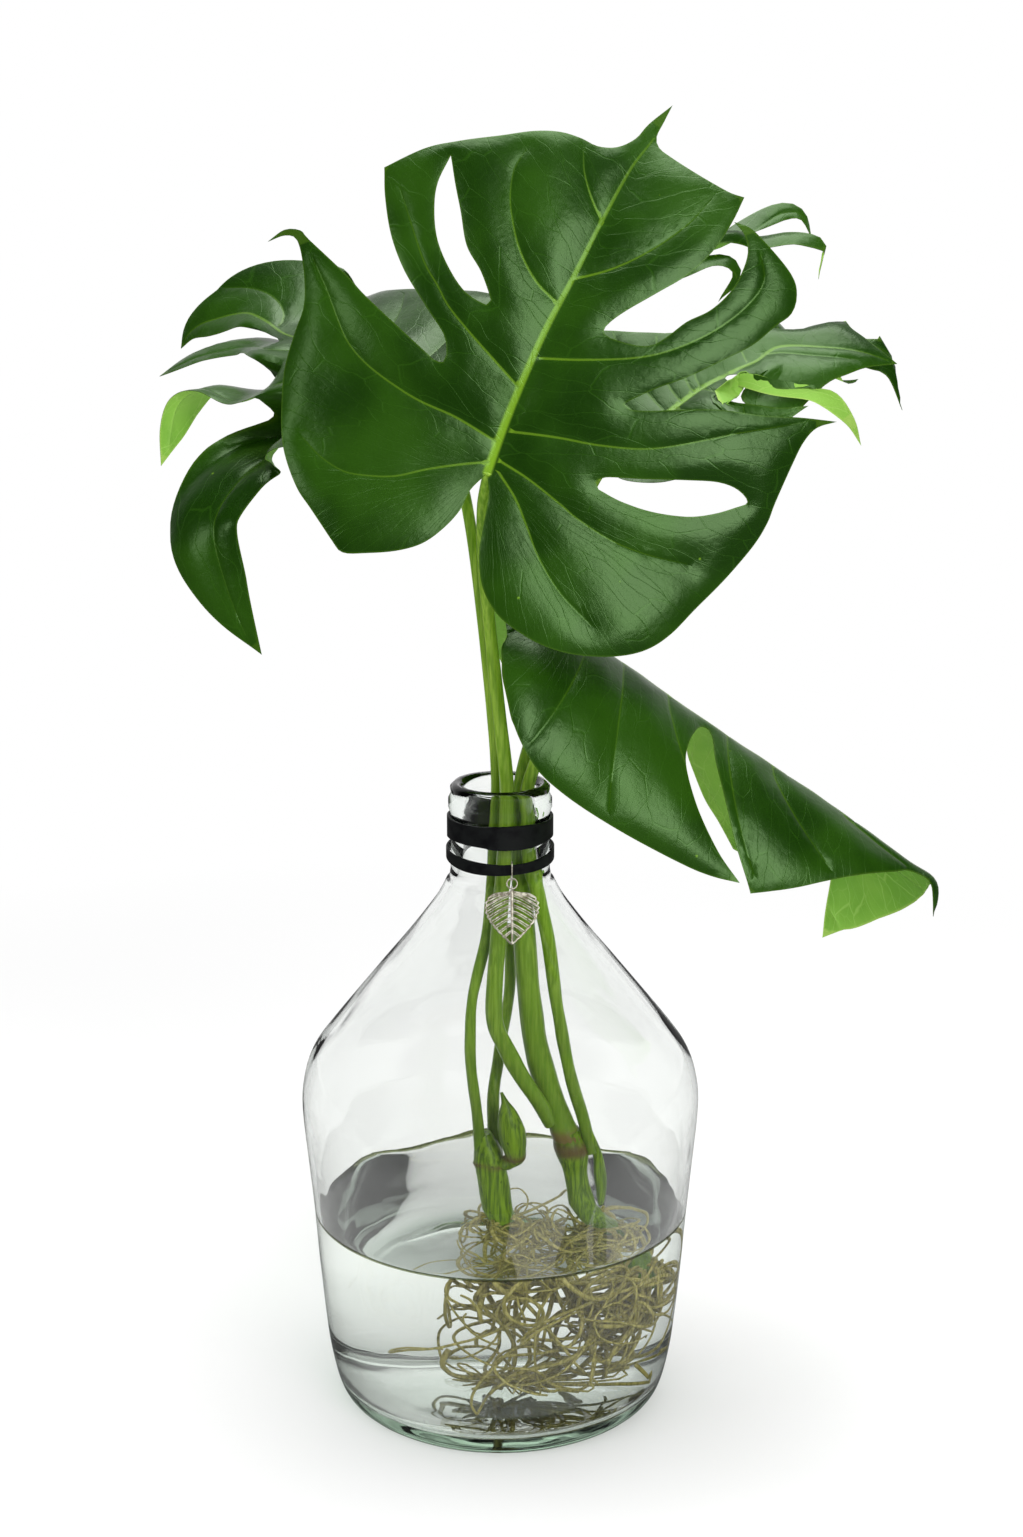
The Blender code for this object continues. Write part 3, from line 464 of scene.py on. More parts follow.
# %% fibre, stalk and root finishes
def make_fibre():
    tree, entry, leave = new_group(
        "fibre", [("Vector", "Place"), ("Float", "Pore Size")],
        [("Float", "Streaks"), ("Float", "Tone"), ("Float", "Pores"), ("Float", "Relief")])
    long = put(tree, "VectorMath", {0: entry.outputs["Place"], 1: (620.0, 620.0, 34.0)},
               operation="MULTIPLY")
    streaks = put(tree, "TexNoise", {"Vector": long.outputs["Vector"], "Scale": 1.0,
                                     "Detail": 3.0})
    tone = put(tree, "TexNoise", {"Vector": entry.outputs["Place"], "Scale": 45.0,
                                  "Detail": 3.0})
    dots = put(tree, "TexVoronoi", {"Vector": entry.outputs["Place"], "Scale": 130.0})
    size = put(tree, "Math", {0: entry.outputs["Pore Size"], 1: dots.outputs["Distance"]},
               operation="SUBTRACT")
    pores = put(tree, "Math", {0: size.outputs["Value"], 1: 12.0}, operation="MULTIPLY",
                use_clamp=True)
    relief = put(tree, "Math", {0: pores.outputs["Value"], 1: -0.6,
                                2: streaks.outputs["Fac"]}, operation="MULTIPLY_ADD")
    for label, socket in (("Streaks", streaks.outputs["Fac"]), ("Tone", tone.outputs["Fac"]),
                          ("Pores", pores.outputs["Value"]),
                          ("Relief", relief.outputs["Value"])):
        tree.links.new(socket, leave.inputs[label])
    return tree


FIBRE = make_fibre()


def stalk_finish(name, dark, light, pore, scar, gloss, depth, pore_size=0.10, low=None):
    """A fibrous finish; low is a second colour that takes over towards the foot of the vase."""
    material = bpy.data.materials.new(name)
    tree = tree_of(material)
    place = put(tree, "TexCoord").outputs["Object"]
    marks = use_group(tree, FIBRE, {"Place": place, "Pore Size": pore_size}).outputs
    colour = mix(tree, fade(tree, marks["Streaks"], 0.66, 0.34), dark, light)
    if low is not None:
        height = put(tree, "SeparateXYZ", {"Vector": place}).outputs["Z"]
        colour = mix(tree, times(tree, fade(tree, height, 0.10, 0.34), 0.8), colour, low)
    colour = mix(tree, times(tree, fade(tree, marks["Tone"], 0.35, 0.60), 0.45), colour, dark)
    colour = mix(tree, times(tree, marks["Pores"], 0.8), colour, pore)
    scars = put(tree, "Attribute", attribute_name="scar").outputs["Fac"]
    colour = mix(tree, times(tree, scars, 0.9), colour, scar)
    bump = put(tree, "Bump", {"Height": marks["Relief"], "Distance": depth, "Strength": 0.5})
    rough = put(tree, "MapRange", {"Value": marks["Tone"], "To Min": gloss - 0.08,
                                   "To Max": gloss + 0.12}).outputs["Result"]
    return surface(material, tree, {"Base Color": colour, "Roughness": rough,
                                    "Specular IOR Level": 0.30,
                                    "Normal": bump.outputs["Normal"]})


STALK = stalk_finish("stalk_green", (0.150, 0.300, 0.010), (0.300, 0.480, 0.045),
                     (0.030, 0.080, 0.010), (0.16, 0.10, 0.03), 0.32, 0.0003, 0.05,
                     low=(0.046, 0.090, 0.003))
STEM = stalk_finish("cutting_green", (0.060, 0.125, 0.002), (0.190, 0.330, 0.008),
                    (0.035, 0.060, 0.008), (0.105, 0.060, 0.022), 0.34, 0.0004, 0.13)
ROOT = stalk_finish("root_beige", (0.210, 0.185, 0.030), (0.520, 0.450, 0.140),
                    (0.120, 0.110, 0.025), (0.30, 0.28, 0.12), 0.46, 0.0003, 0.16)
print("stalk, cutting and root finishes made")

# %% [markdown]
# Clear things bend light. The glass keeps a plain transmission, and a thin green absorption inside
# its wall, so that it turns green only where the light runs a long way through it: at the edges and
# in the thick base. For the lamps' shadow rays it is let through as clear, so that light reaches what
# stands inside.

# %% glass and water
def clear_finish(name, ior, tint, shade, depth, density, ripple, edge=None):
    material = bpy.data.materials.new(name)
    tree = tree_of(material)
    place = put(tree, "TexCoord").outputs["Object"]
    waves = put(tree, "TexNoise", {"Vector": put(tree, "Mapping", {"Vector": place,
                                   "Scale": (1.0, 1.0, 0.45)}).outputs["Vector"],
                                   "Scale": 26.0, "Detail": 1.0})
    bump = put(tree, "Bump", {"Height": waves.outputs["Fac"], "Distance": depth,
                              "Strength": ripple})
    colour = (*tint, 1)
    # edge: the water above this height band is coloured dark, a painted shade for the dark waterline
    if edge:
        height = put(tree, "SeparateXYZ", {"Vector": place}).outputs["Z"]
        colour = mix(tree, fade(tree, height, edge[0] * MM, edge[1] * MM), edge[2], tint)
    shader = put(tree, "BsdfPrincipled", {"Base Color": colour, "Roughness": 0.0,
                                          "IOR": ior, "Transmission Weight": 1.0,
                                          "Normal": bump.outputs["Normal"]})
    open_air = put(tree, "BsdfTransparent", {"Color": (*shade, 1)})
    shadow = put(tree, "LightPath").outputs["Is Shadow Ray"]
    both = put(tree, "MixShader", {0: shadow, 1: shader.outputs["BSDF"],
                                   2: open_air.outputs["BSDF"]})
    dye = put(tree, "VolumeAbsorption", {"Color": (0.58, 0.80, 0.62, 1), "Density": density})
    put(tree, "OutputMaterial", {"Surface": both.outputs["Shader"],
                                 "Volume": dye.outputs["Volume"]})
    return material


GLASS = clear_finish("clear_glass", 1.50, (0.995, 0.998, 0.995), (0.96, 0.97, 0.965), 0.004,
                     8.0, 0.16)
# the water's climb at the wall, above 118.3 to 118.8 mm, turns dark olive: painted shade for the
# waterline
WATER = clear_finish("still_water", 1.333, (0.99, 1.0, 0.99), (0.99, 1.0, 0.99), 0.001, 0.4, 0.05,
                     edge=(118.3, 118.8, (0.10, 0.12, 0.04)))


# %% rubber and antique metal
def make_rubber():
    material = bpy.data.materials.new("black_rubber")
    tree = tree_of(material)
    place = put(tree, "TexCoord").outputs["Object"]
    dust = put(tree, "TexNoise", {"Vector": place, "Scale": 120.0, "Detail": 5.0})
    skin = put(tree, "TexNoise", {"Vector": place, "Scale": 1500.0, "Detail": 2.0})
    colour = mix(tree, fade(tree, dust.outputs["Fac"], 0.70, 0.45), (0.006, 0.007, 0.007),
                 (0.002, 0.002, 0.003))
    rough = put(tree, "MapRange", {"Value": dust.outputs["Fac"], "To Min": 0.34,
                                   "To Max": 0.62}).outputs["Result"]
    bump = put(tree, "Bump", {"Height": skin.outputs["Fac"], "Distance": 0.0001,
                              "Strength": 0.4})
    return surface(material, tree, {"Base Color": colour, "Roughness": rough,
                                    "Specular IOR Level": 0.12,
                                    "Normal": bump.outputs["Normal"]})


def make_antique():
    """Worn silver: bright where it is rubbed, brown-grey where it is not."""
    material = bpy.data.materials.new("antique_silver")
    tree = tree_of(material)
    place = put(tree, "TexCoord").outputs["Object"]
    worn = put(tree, "TexNoise", {"Vector": place, "Scale": 420.0, "Detail": 4.0})
    colour = mix(tree, fade(tree, worn.outputs["Fac"], 0.62, 0.38), (0.36, 0.32, 0.24),
                 (0.80, 0.76, 0.67))
    rough = put(tree, "MapRange", {"Value": worn.outputs["Fac"], "To Min": 0.28,
                                   "To Max": 0.60}).outputs["Result"]
    bump = put(tree, "Bump", {"Height": worn.outputs["Fac"], "Distance": 0.0002,
                              "Strength": 0.5})
    return surface(material, tree, {"Base Color": colour, "Metallic": 0.8, "Roughness": rough,
                                    "Normal": bump.outputs["Normal"]})


RUBBER, SILVER = make_rubber(), make_antique()
print("clear, rubber and metal finishes made")

# %% [markdown]
# ## The bottle
#
# The bottle is blown into a mould, with a thick lip and a collar for its stopper. Its wall is one
# closed shell: the profile goes up the outside, over the lip, down the inside and across the dome in
# the base. Blown glass is never quite even, so both skins get slow waves of well under a millimetre,
# which bend what is seen through them.

# %% glass bottle
VASE_OUTER = [(92, 0), (97, 4), (101, 12), (105, 30), (107.5, 50), (110.5, 80), (113.5, 118),
              (117.5, 160), (119.5, 185), (118.5, 200), (114, 215), (104, 230), (72, 270),
              (55.5, 290), (44, 305), (37, 315), (31.8, 325), (29.4, 331), (29.2, 365),
              (30.6, 369), (30.6, 374), (29.0, 377), (29.4, 381), (27.0, 383.5)]
VASE_INNER = [(24.0, 383.0), (22.2, 379), (22.2, 338), (27, 325), (33, 314), (40.5, 303),
              (52, 288), (68.5, 268), (100.5, 228), (110.3, 213), (115, 198), (116, 185),
              (114, 160), (110, 118), (107, 80), (103.5, 45), (97, 22), (86, 11), (58, 10),
              (28, 16), (0, 19)]
WATER_Z = 118.0
WAVE = 0.35                      # how far the glass wall strays, in millimetres
TURNS = 144

outer_wall = through(VASE_OUTER, 3.5)
inner_wall = through(VASE_INNER, 3.5)


def wall_waves(points, seed, depth):
    """How a wall of uneven glass strays from round, straight out from the axis."""
    radius = np.maximum(np.linalg.norm(points[:, :2], axis=1), 1e-6)
    slow = lumps(points * (1, 1, 0.6), 55.0, seed) + 0.35 * lumps(points, 17.0, seed + 1)
    ease = np.clip(points[:, 2] / 30, 0, 1) * np.clip((320 - points[:, 2]) / 80, 0.12, 1)
    out = np.zeros_like(points)
    out[:, :2] = points[:, :2] / radius[:, None] * (slow * ease * depth)[:, None]
    return out


def bottle_waves(points):
    """The two skins of the wall stray on their own."""
    middle = (np.interp(points[:, 2], outer_wall[:, 1], outer_wall[:, 0])
              + np.interp(points[:, 2], inner_wall[::-1, 1], inner_wall[::-1, 0])) / 2
    outside = np.linalg.norm(points[:, :2], axis=1) > middle
    return np.where(outside[:, None], wall_waves(points, 3, WAVE), wall_waves(points, 8, WAVE))


UNDER = [(0, 5.5), (30, 5.0), (60, 3.0), (80, 0.8), (88, 0.0)]     # the push-up underneath
bottle = turned("glass_bottle", UNDER + outer_wall.tolist() + inner_wall.tolist(), TURNS)
move_points(bottle, bottle_waves)
finish_piece(bottle, PLANT, ["vase"], "glass", GLASS)

# %% [markdown]
# Water wets the glass, so there is no air between them. Its surface lies a third of a millimetre
# inside the wall: light then crosses glass and water as it does in a real bottle. At the wall the
# surface climbs by about two millimetres, which bends light into a dark line round it; that band
# of water is also coloured dark olive, a painted shade that deepens the line.

# %% water
WET = 0.35
run = np.gradient(inner_wall, axis=0)
run /= np.linalg.norm(run, axis=1)[:, None]
wetted = inner_wall + np.stack([-run[:, 1], run[:, 0]], 1) * WET
wetted = wetted[wetted[:, 1] < WATER_Z][::-1]
wall_r = float(np.interp(WATER_Z + 2, inner_wall[::-1, 1], inner_wall[::-1, 0])) + WET
meniscus = [(wall_r, WATER_Z + 2.2), (wall_r - 1.2, WATER_Z + 1.1), (wall_r - 3, WATER_Z + 0.4),
            (wall_r - 7, WATER_Z), (60, WATER_Z), (0, WATER_Z)]
wetted[0] = (0, wetted[0, 1])
water = turned("still_water_body", wetted.tolist() + meniscus, TURNS)
move_points(water, lambda points: wall_waves(points, 8, WAVE))
finish_piece(water, PLANT, ["water"], "water", WATER, angle=50)

# %% [markdown]
# ## Bands, wire and charm
#
# The two bands are cut from rubber tube. Each is a flat strip with soft corners, turned round the
# neck, then made a little uneven as a stretched band is. The wide one laps over itself in front.

# %% rubber bands
def make_band(name, node, inner, outer, height, z, tilt, depth, lap=None):
    half, soft = height / 2, 0.35
    profile = [(inner, -half + soft), (inner + soft, -half), (outer - soft, -half),
               (outer, -half + soft), (outer, 0), (outer, half - soft), (outer - soft, half),
               (inner + soft, half), (inner, half - soft), (inner, -half + soft)]
    band = turned(name, profile, 120)
    lean = math.radians(tilt)

    def settle(points):
        new = points.copy()
        angle = np.arctan2(points[:, 1], points[:, 0])
        edge = np.clip(np.abs(points[:, 2]) / half, 0, 1) * np.sign(points[:, 2])
        new[:, 2] += edge * 0.35 * np.sin(3 * angle + z) + 0.25 * np.sin(2 * angle + 1)
        if lap:
            over = 1 / (1 + np.exp(-(angle - math.radians(lap)) * 45))
            over *= np.clip((math.radians(lap + 70) - angle) * 3, 0, 1)
            grow = 1 + over * 0.55 / outer
            new[:, 0] *= grow
            new[:, 1] *= grow
            new[:, 2] += over * edge * 0.5
        new[:, 1] *= depth
        y, up = new[:, 1].copy(), new[:, 2].copy()
        new[:, 1] = y * math.cos(lean) - up * math.sin(lean)
        new[:, 2] = y * math.sin(lean) + up * math.cos(lean) + z
        return new - points

    move_points(band, settle)
    return finish_piece(band, PLANT, [node], "band", RUBBER, angle=35)


make_band("wide_band", "band_upper", 29.5, 31.4, 12.6, 357.3, 0.0, 1.0, lap=-104)
make_band("narrow_band", "band_lower", 30.6, 32.0, 7.0, 341.4, 5.0, 1.026)

# %% [markdown]
# A loop of thin wire goes round the narrow band, and a small ring hangs in it. The charm hangs in
# the ring by an eye. Ring and charm swing together about the wire, so they ride on their own body.

# %% wire loop and ring
SWING = (7.0, -31.3, 333.4)      # the middle of the ring's wire, where it hangs
CHARM_LEAN = 27.0
WIRE_R = 0.45
LOOP_R = 1.9
LOOP_TOP = 343.2
RING_R = 3.0
BAIL_R = 1.5
lean = math.radians(CHARM_LEAN)
DOWN = np.array((0, -math.sin(lean), -math.cos(lean)))
OUT = np.array((0, -math.cos(lean), math.sin(lean)))
ACROSS = np.array((1.0, 0, 0))


def circle(centre, radius, first, second, steps=40):
    angles = np.linspace(0, math.tau, steps, endpoint=False)
    return [tuple(centre + radius * (math.cos(a) * first + math.sin(a) * second)) + (WIRE_R,)
            for a in angles]


low, high = SWING[2] - WIRE_R * 2 - 0.4 + LOOP_R, LOOP_TOP - LOOP_R
arc = [math.pi * k / 14 for k in range(15)]
loop = [(SWING[0], SWING[1] - LOOP_R * math.cos(a), high + LOOP_R * math.sin(a), WIRE_R)
        for a in arc]
loop += [(SWING[0], SWING[1] + LOOP_R * math.cos(a), low - LOOP_R * math.sin(a), WIRE_R)
         for a in arc]
finish_piece(swept("wire_hook", [loop], 3, closed=True), PLANT, ["wire_loop"], "metal", SILVER)
ring = circle(np.array(SWING) + DOWN * RING_R, RING_R, ACROSS, DOWN)
finish_piece(swept("hanging_ring", [ring], 3, closed=True), CHARM, ["jump_ring"], "metal",
             SILVER)

# %% [markdown]
# The charm is cast openwork: a thick midrib, pairs of side veins, a thin rim that dips between them,
# and slots that let the light through. Each vein is a line with its own thickness, swept round.

# %% openwork leaf charm
CHARM_LENGTH = 31.0
CHARM_HALF = 15.5
CHARM_VEINS = 9
top = np.array(SWING) + DOWN * (RING_R * 2 + 0.2 + BAIL_R * 0.9)


CHARM_SHAPE = [(0, 0.26), (0.04, 0.60), (0.11, 0.86), (0.22, 0.99), (0.36, 1.0), (0.50, 0.90),
               (0.65, 0.70), (0.80, 0.43), (0.92, 0.18), (1, 0.0)]


def charm_side(t):
    """Half width of the charm at t from its top to its tip."""
    shares = through(CHARM_SHAPE, 0.02)
    return CHARM_HALF * float(np.interp(t, shares[:, 0], shares[:, 1]))


def on_charm(u, v, radius, lift=0.0):
    """A row for a point u down and v across the charm, which is slightly cupped."""
    cup = lift - abs(v) * 0.05
    return (*(top + DOWN * u + ACROSS * v + OUT * (cup + 1.1 * u / CHARM_LENGTH)), radius)


def vein_end(k):
    """Where side vein k meets the rim, as a share of the length."""
    return 0.03 + 0.92 * (k + 1) / (CHARM_VEINS + 1)


def charm_lines():
    lines = [[on_charm(u, 0, 1.05 - 0.6 * u / CHARM_LENGTH, 0.3)
              for u in np.linspace(-0.6, CHARM_LENGTH, 16)]]
    for side in (1, -1):
        rim = [on_charm(0.3, 0.4 * side, 0.6)]
        for k in range(CHARM_VEINS + 1):
            end = vein_end(k)
            before = vein_end(k - 1) if k else 0.02
            for t in np.linspace(before, end, 6)[1:]:
                dip = 1 - 0.075 * (1 - abs(2 * (t - before) / (end - before) - 1)) if k else 1
                reach = charm_side(min(t, 0.995)) * dip
                rim.append(on_charm(CHARM_LENGTH * t, side * reach, 0.55))
            if k == CHARM_VEINS:
                continue
            reach = charm_side(end)
            root = CHARM_LENGTH * max(0.0, end - 0.05 - 0.20 * (reach / CHARM_HALF))
            bow = [on_charm(root + (CHARM_LENGTH * end - root) * s ** 1.35, side * reach * s,
                            0.46, 0.25 * (1 - s)) for s in np.linspace(0, 1, 9)]
            lines.append(bow)
            second = [on_charm(root + 1.0 + (CHARM_LENGTH * end - root) * s ** 1.35,
                               side * reach * s * 0.93, 0.26) for s in np.linspace(0, 1, 9)]
            lines.append(second)
        rim.append(on_charm(CHARM_LENGTH, 0, 0.5))
        lines.append(rim)
    return lines


charm = swept("filigree_leaf", charm_lines(), 2)
eye = swept("eye", [circle(np.array(SWING) + DOWN * (RING_R * 2 + 0.2), BAIL_R, OUT, DOWN, 20)],
            2, closed=True)
clear_selection()
eye.select_set(True)
charm.select_set(True)
bpy.context.view_layer.objects.active = charm
bpy.ops.object.join()
finish_piece(charm, CHARM, ["leaf_charm"], "metal", SILVER)

# %% [markdown]
# ## Leaves
#
# A leaf is drawn flat and then bent. Flat, it has its own map: u runs from the stalk to the tip and
# v to the right, both in millimetres. A Rail is a line through the room with a direction for the
# upper face at each point, and a Blade lays the flat leaf along its midrib rail, lets each half curl
# away from it, and bends each lobe along a rail of its own.

# %% rails
def frames(points, faces):
    """Directions along, out of the upper face and to the right at each point of a curve."""
    run = np.gradient(points, axis=0)
    run /= np.linalg.norm(run, axis=1)[:, None]
    up = faces - (faces * run).sum(1)[:, None] * run
    up /= np.linalg.norm(up, axis=1)[:, None]
    return run, up, np.cross(run, up)


class Rail:
    """A smooth curve with a face direction at every point, read by distance along it."""

    def __init__(self, points, faces, zero=0):
        points = np.asarray(points, float)
        self.points = through(points, 3.0)
        ends = [np.argmin(np.linalg.norm(self.points - p, axis=1)) for p in points]
        steps = np.linalg.norm(np.diff(self.points, axis=0), axis=1)
        self.along = np.concatenate([[0.0], np.cumsum(steps)])
        self.length = self.along[-1]
        knots = self.along[ends]
        faces = np.asarray(faces, float)
        spread = [np.interp(self.along, knots, faces[:, i]) for i in range(3)]
        self.run, self.up, self.right = frames(self.points, np.stack(spread, 1))
        self.along -= knots[zero]

    def read(self, table, at):
        return np.stack([np.interp(at, self.along, table[:, i]) for i in range(3)], 1)

    def centre(self, at):
        over = np.clip(at - self.along[-1], 0, None)[:, None] * self.run[-1]
        under = np.clip(at - self.along[0], None, 0)[:, None] * self.run[0]
        return self.read(self.points, at) + over + under

# %% blades that bend a flat leaf into the room
class Blade:
    """Bends leaf space into the room.

    spine: (x, y, z) points from behind the joint to past the tip, faces: the upper face's
    direction at each, joint: which point is the joint.  left and right: (place, start,
    curl, curl growth) rows that say how each half leaves the midrib, in degrees and degrees
    per 100 mm, for places from -1 (behind the joint) through 0 to 1 (the tip).
    lobes: dicts of root and tip in leaf space, the points and faces its middle runs
    through on from the root, and an optional curl across it.
    """

    FAN = (math.radians(80), math.radians(50))   # heading of the side veins, base and tip
    BLEND = 28.0                                 # length over which a lobe leaves the blade
    SOFT = 4.0                                   # how gently one lobe gives way to the next

    def __init__(self, spine, faces, joint, length, left, right, lobes=()):
        self.rail = Rail(spine, faces, joint)
        self.length = length
        self.halves = {-1: np.array(left, float), 1: np.array(right, float)}
        self.lobes = [self.lobe(**lobe) for lobe in lobes]

    def lobe(self, root, tip, points, faces, curl=0.0):
        root, tip = np.array(root, float), np.array(tip, float)
        start = self.flat(root[None])[0]
        face = self.face(root)
        rail = Rail([start] + list(points), [face] + list(faces))
        return root, tip, rail, math.radians(curl) / 100

    def station(self, u, v):
        """Where the side vein through (u, v) leaves the midrib, from -1 to 1."""
        low, high = np.zeros_like(u), np.full_like(u, self.length)
        for _ in range(20):
            mid = (low + high) / 2
            lean = self.FAN[0] + (self.FAN[1] - self.FAN[0]) * mid / self.length
            ahead = (u - mid) * np.sin(lean) > v * np.cos(lean)
            low, high = np.where(ahead, mid, low), np.where(ahead, high, mid)
        heading = np.arctan2(v, u)
        behind = (heading - self.FAN[0]) / (math.pi - self.FAN[0])
        return np.where(behind > 0, -behind, (low + high) / 2 / self.length)

    def flat(self, uv):
        """Points of the blade before its lobes bend."""
        u, side = uv[:, 0], np.where(uv[:, 1] < 0, -1, 1)
        reach = np.abs(uv[:, 1])
        place = self.station(u, reach)
        out, rise = np.zeros_like(u), np.zeros_like(u)
        start, curl, growth = np.zeros((3, len(u)))
        for half, rows in self.halves.items():
            mine = side == half
            for target, column in ((start, 1), (curl, 2), (growth, 3)):
                target[mine] = np.interp(place[mine], rows[:, 0], np.radians(rows[:, column]))
        steps = 16
        for i in range(steps):
            x = reach * (i + 0.5) / steps / 100
            angle = start + curl * x + growth * x * x
            out += np.cos(angle) * reach / steps
            rise += np.sin(angle) * reach / steps
        return (self.rail.centre(u) + self.rail.read(self.rail.right, u) * (side * out)[:, None]
                + self.rail.read(self.rail.up, u) * rise[:, None])

    def face(self, uv):
        near = self.flat(np.array([uv, uv + (1, 0), uv + (0, 1)]))
        return np.cross(near[2] - near[0], near[1] - near[0])

    def place(self, uv):
        """Points in the room, in millimetres, for points in leaf space."""
        uv = np.asarray(uv, float)
        out = self.flat(uv)
        if not self.lobes:
            return out
        reads = [self.in_lobe(uv, *lobe) for lobe in self.lobes]
        misses = np.array([read[0] for read in reads])
        shares = np.exp((misses.min(0) - misses) / self.SOFT)
        shares /= shares.sum(0)
        moved = np.zeros_like(out)
        for share, (_, weight, bent) in zip(shares, reads):
            moved += (share * weight)[:, None] * (bent - out)
        return out + moved

    def in_lobe(self, uv, root, tip, rail, curl):
        axis = tip - root
        size = float(np.linalg.norm(axis))
        axis /= size
        along = (uv - root) @ axis
        across = (uv - root) @ np.array([-axis[1], axis[0]])
        ease = np.clip(along / self.BLEND, 0, 1)
        at = np.clip(along, 0, None) * rail.length / size
        turn = across * curl
        arc = across * np.sinc(turn / math.pi)
        drop = across * np.sin(turn / 2) * np.sinc(turn / 2 / math.pi)
        bent = (rail.centre(at) + rail.read(rail.right, at) * arc[:, None]
                + rail.read(rail.up, at) * drop[:, None])
        miss = np.abs(across) + np.clip(-along, 0, None) * 2 + np.clip(along - size, 0, None)
        return miss, ease * ease * (3 - 2 * ease), bent

# %% [markdown]
# The outline of each leaf is a list of smooth runs between sharp corners. Holes are closed loops. Most
# points of leaf_front, and about a third of leaf_low's, were worked out by another program.

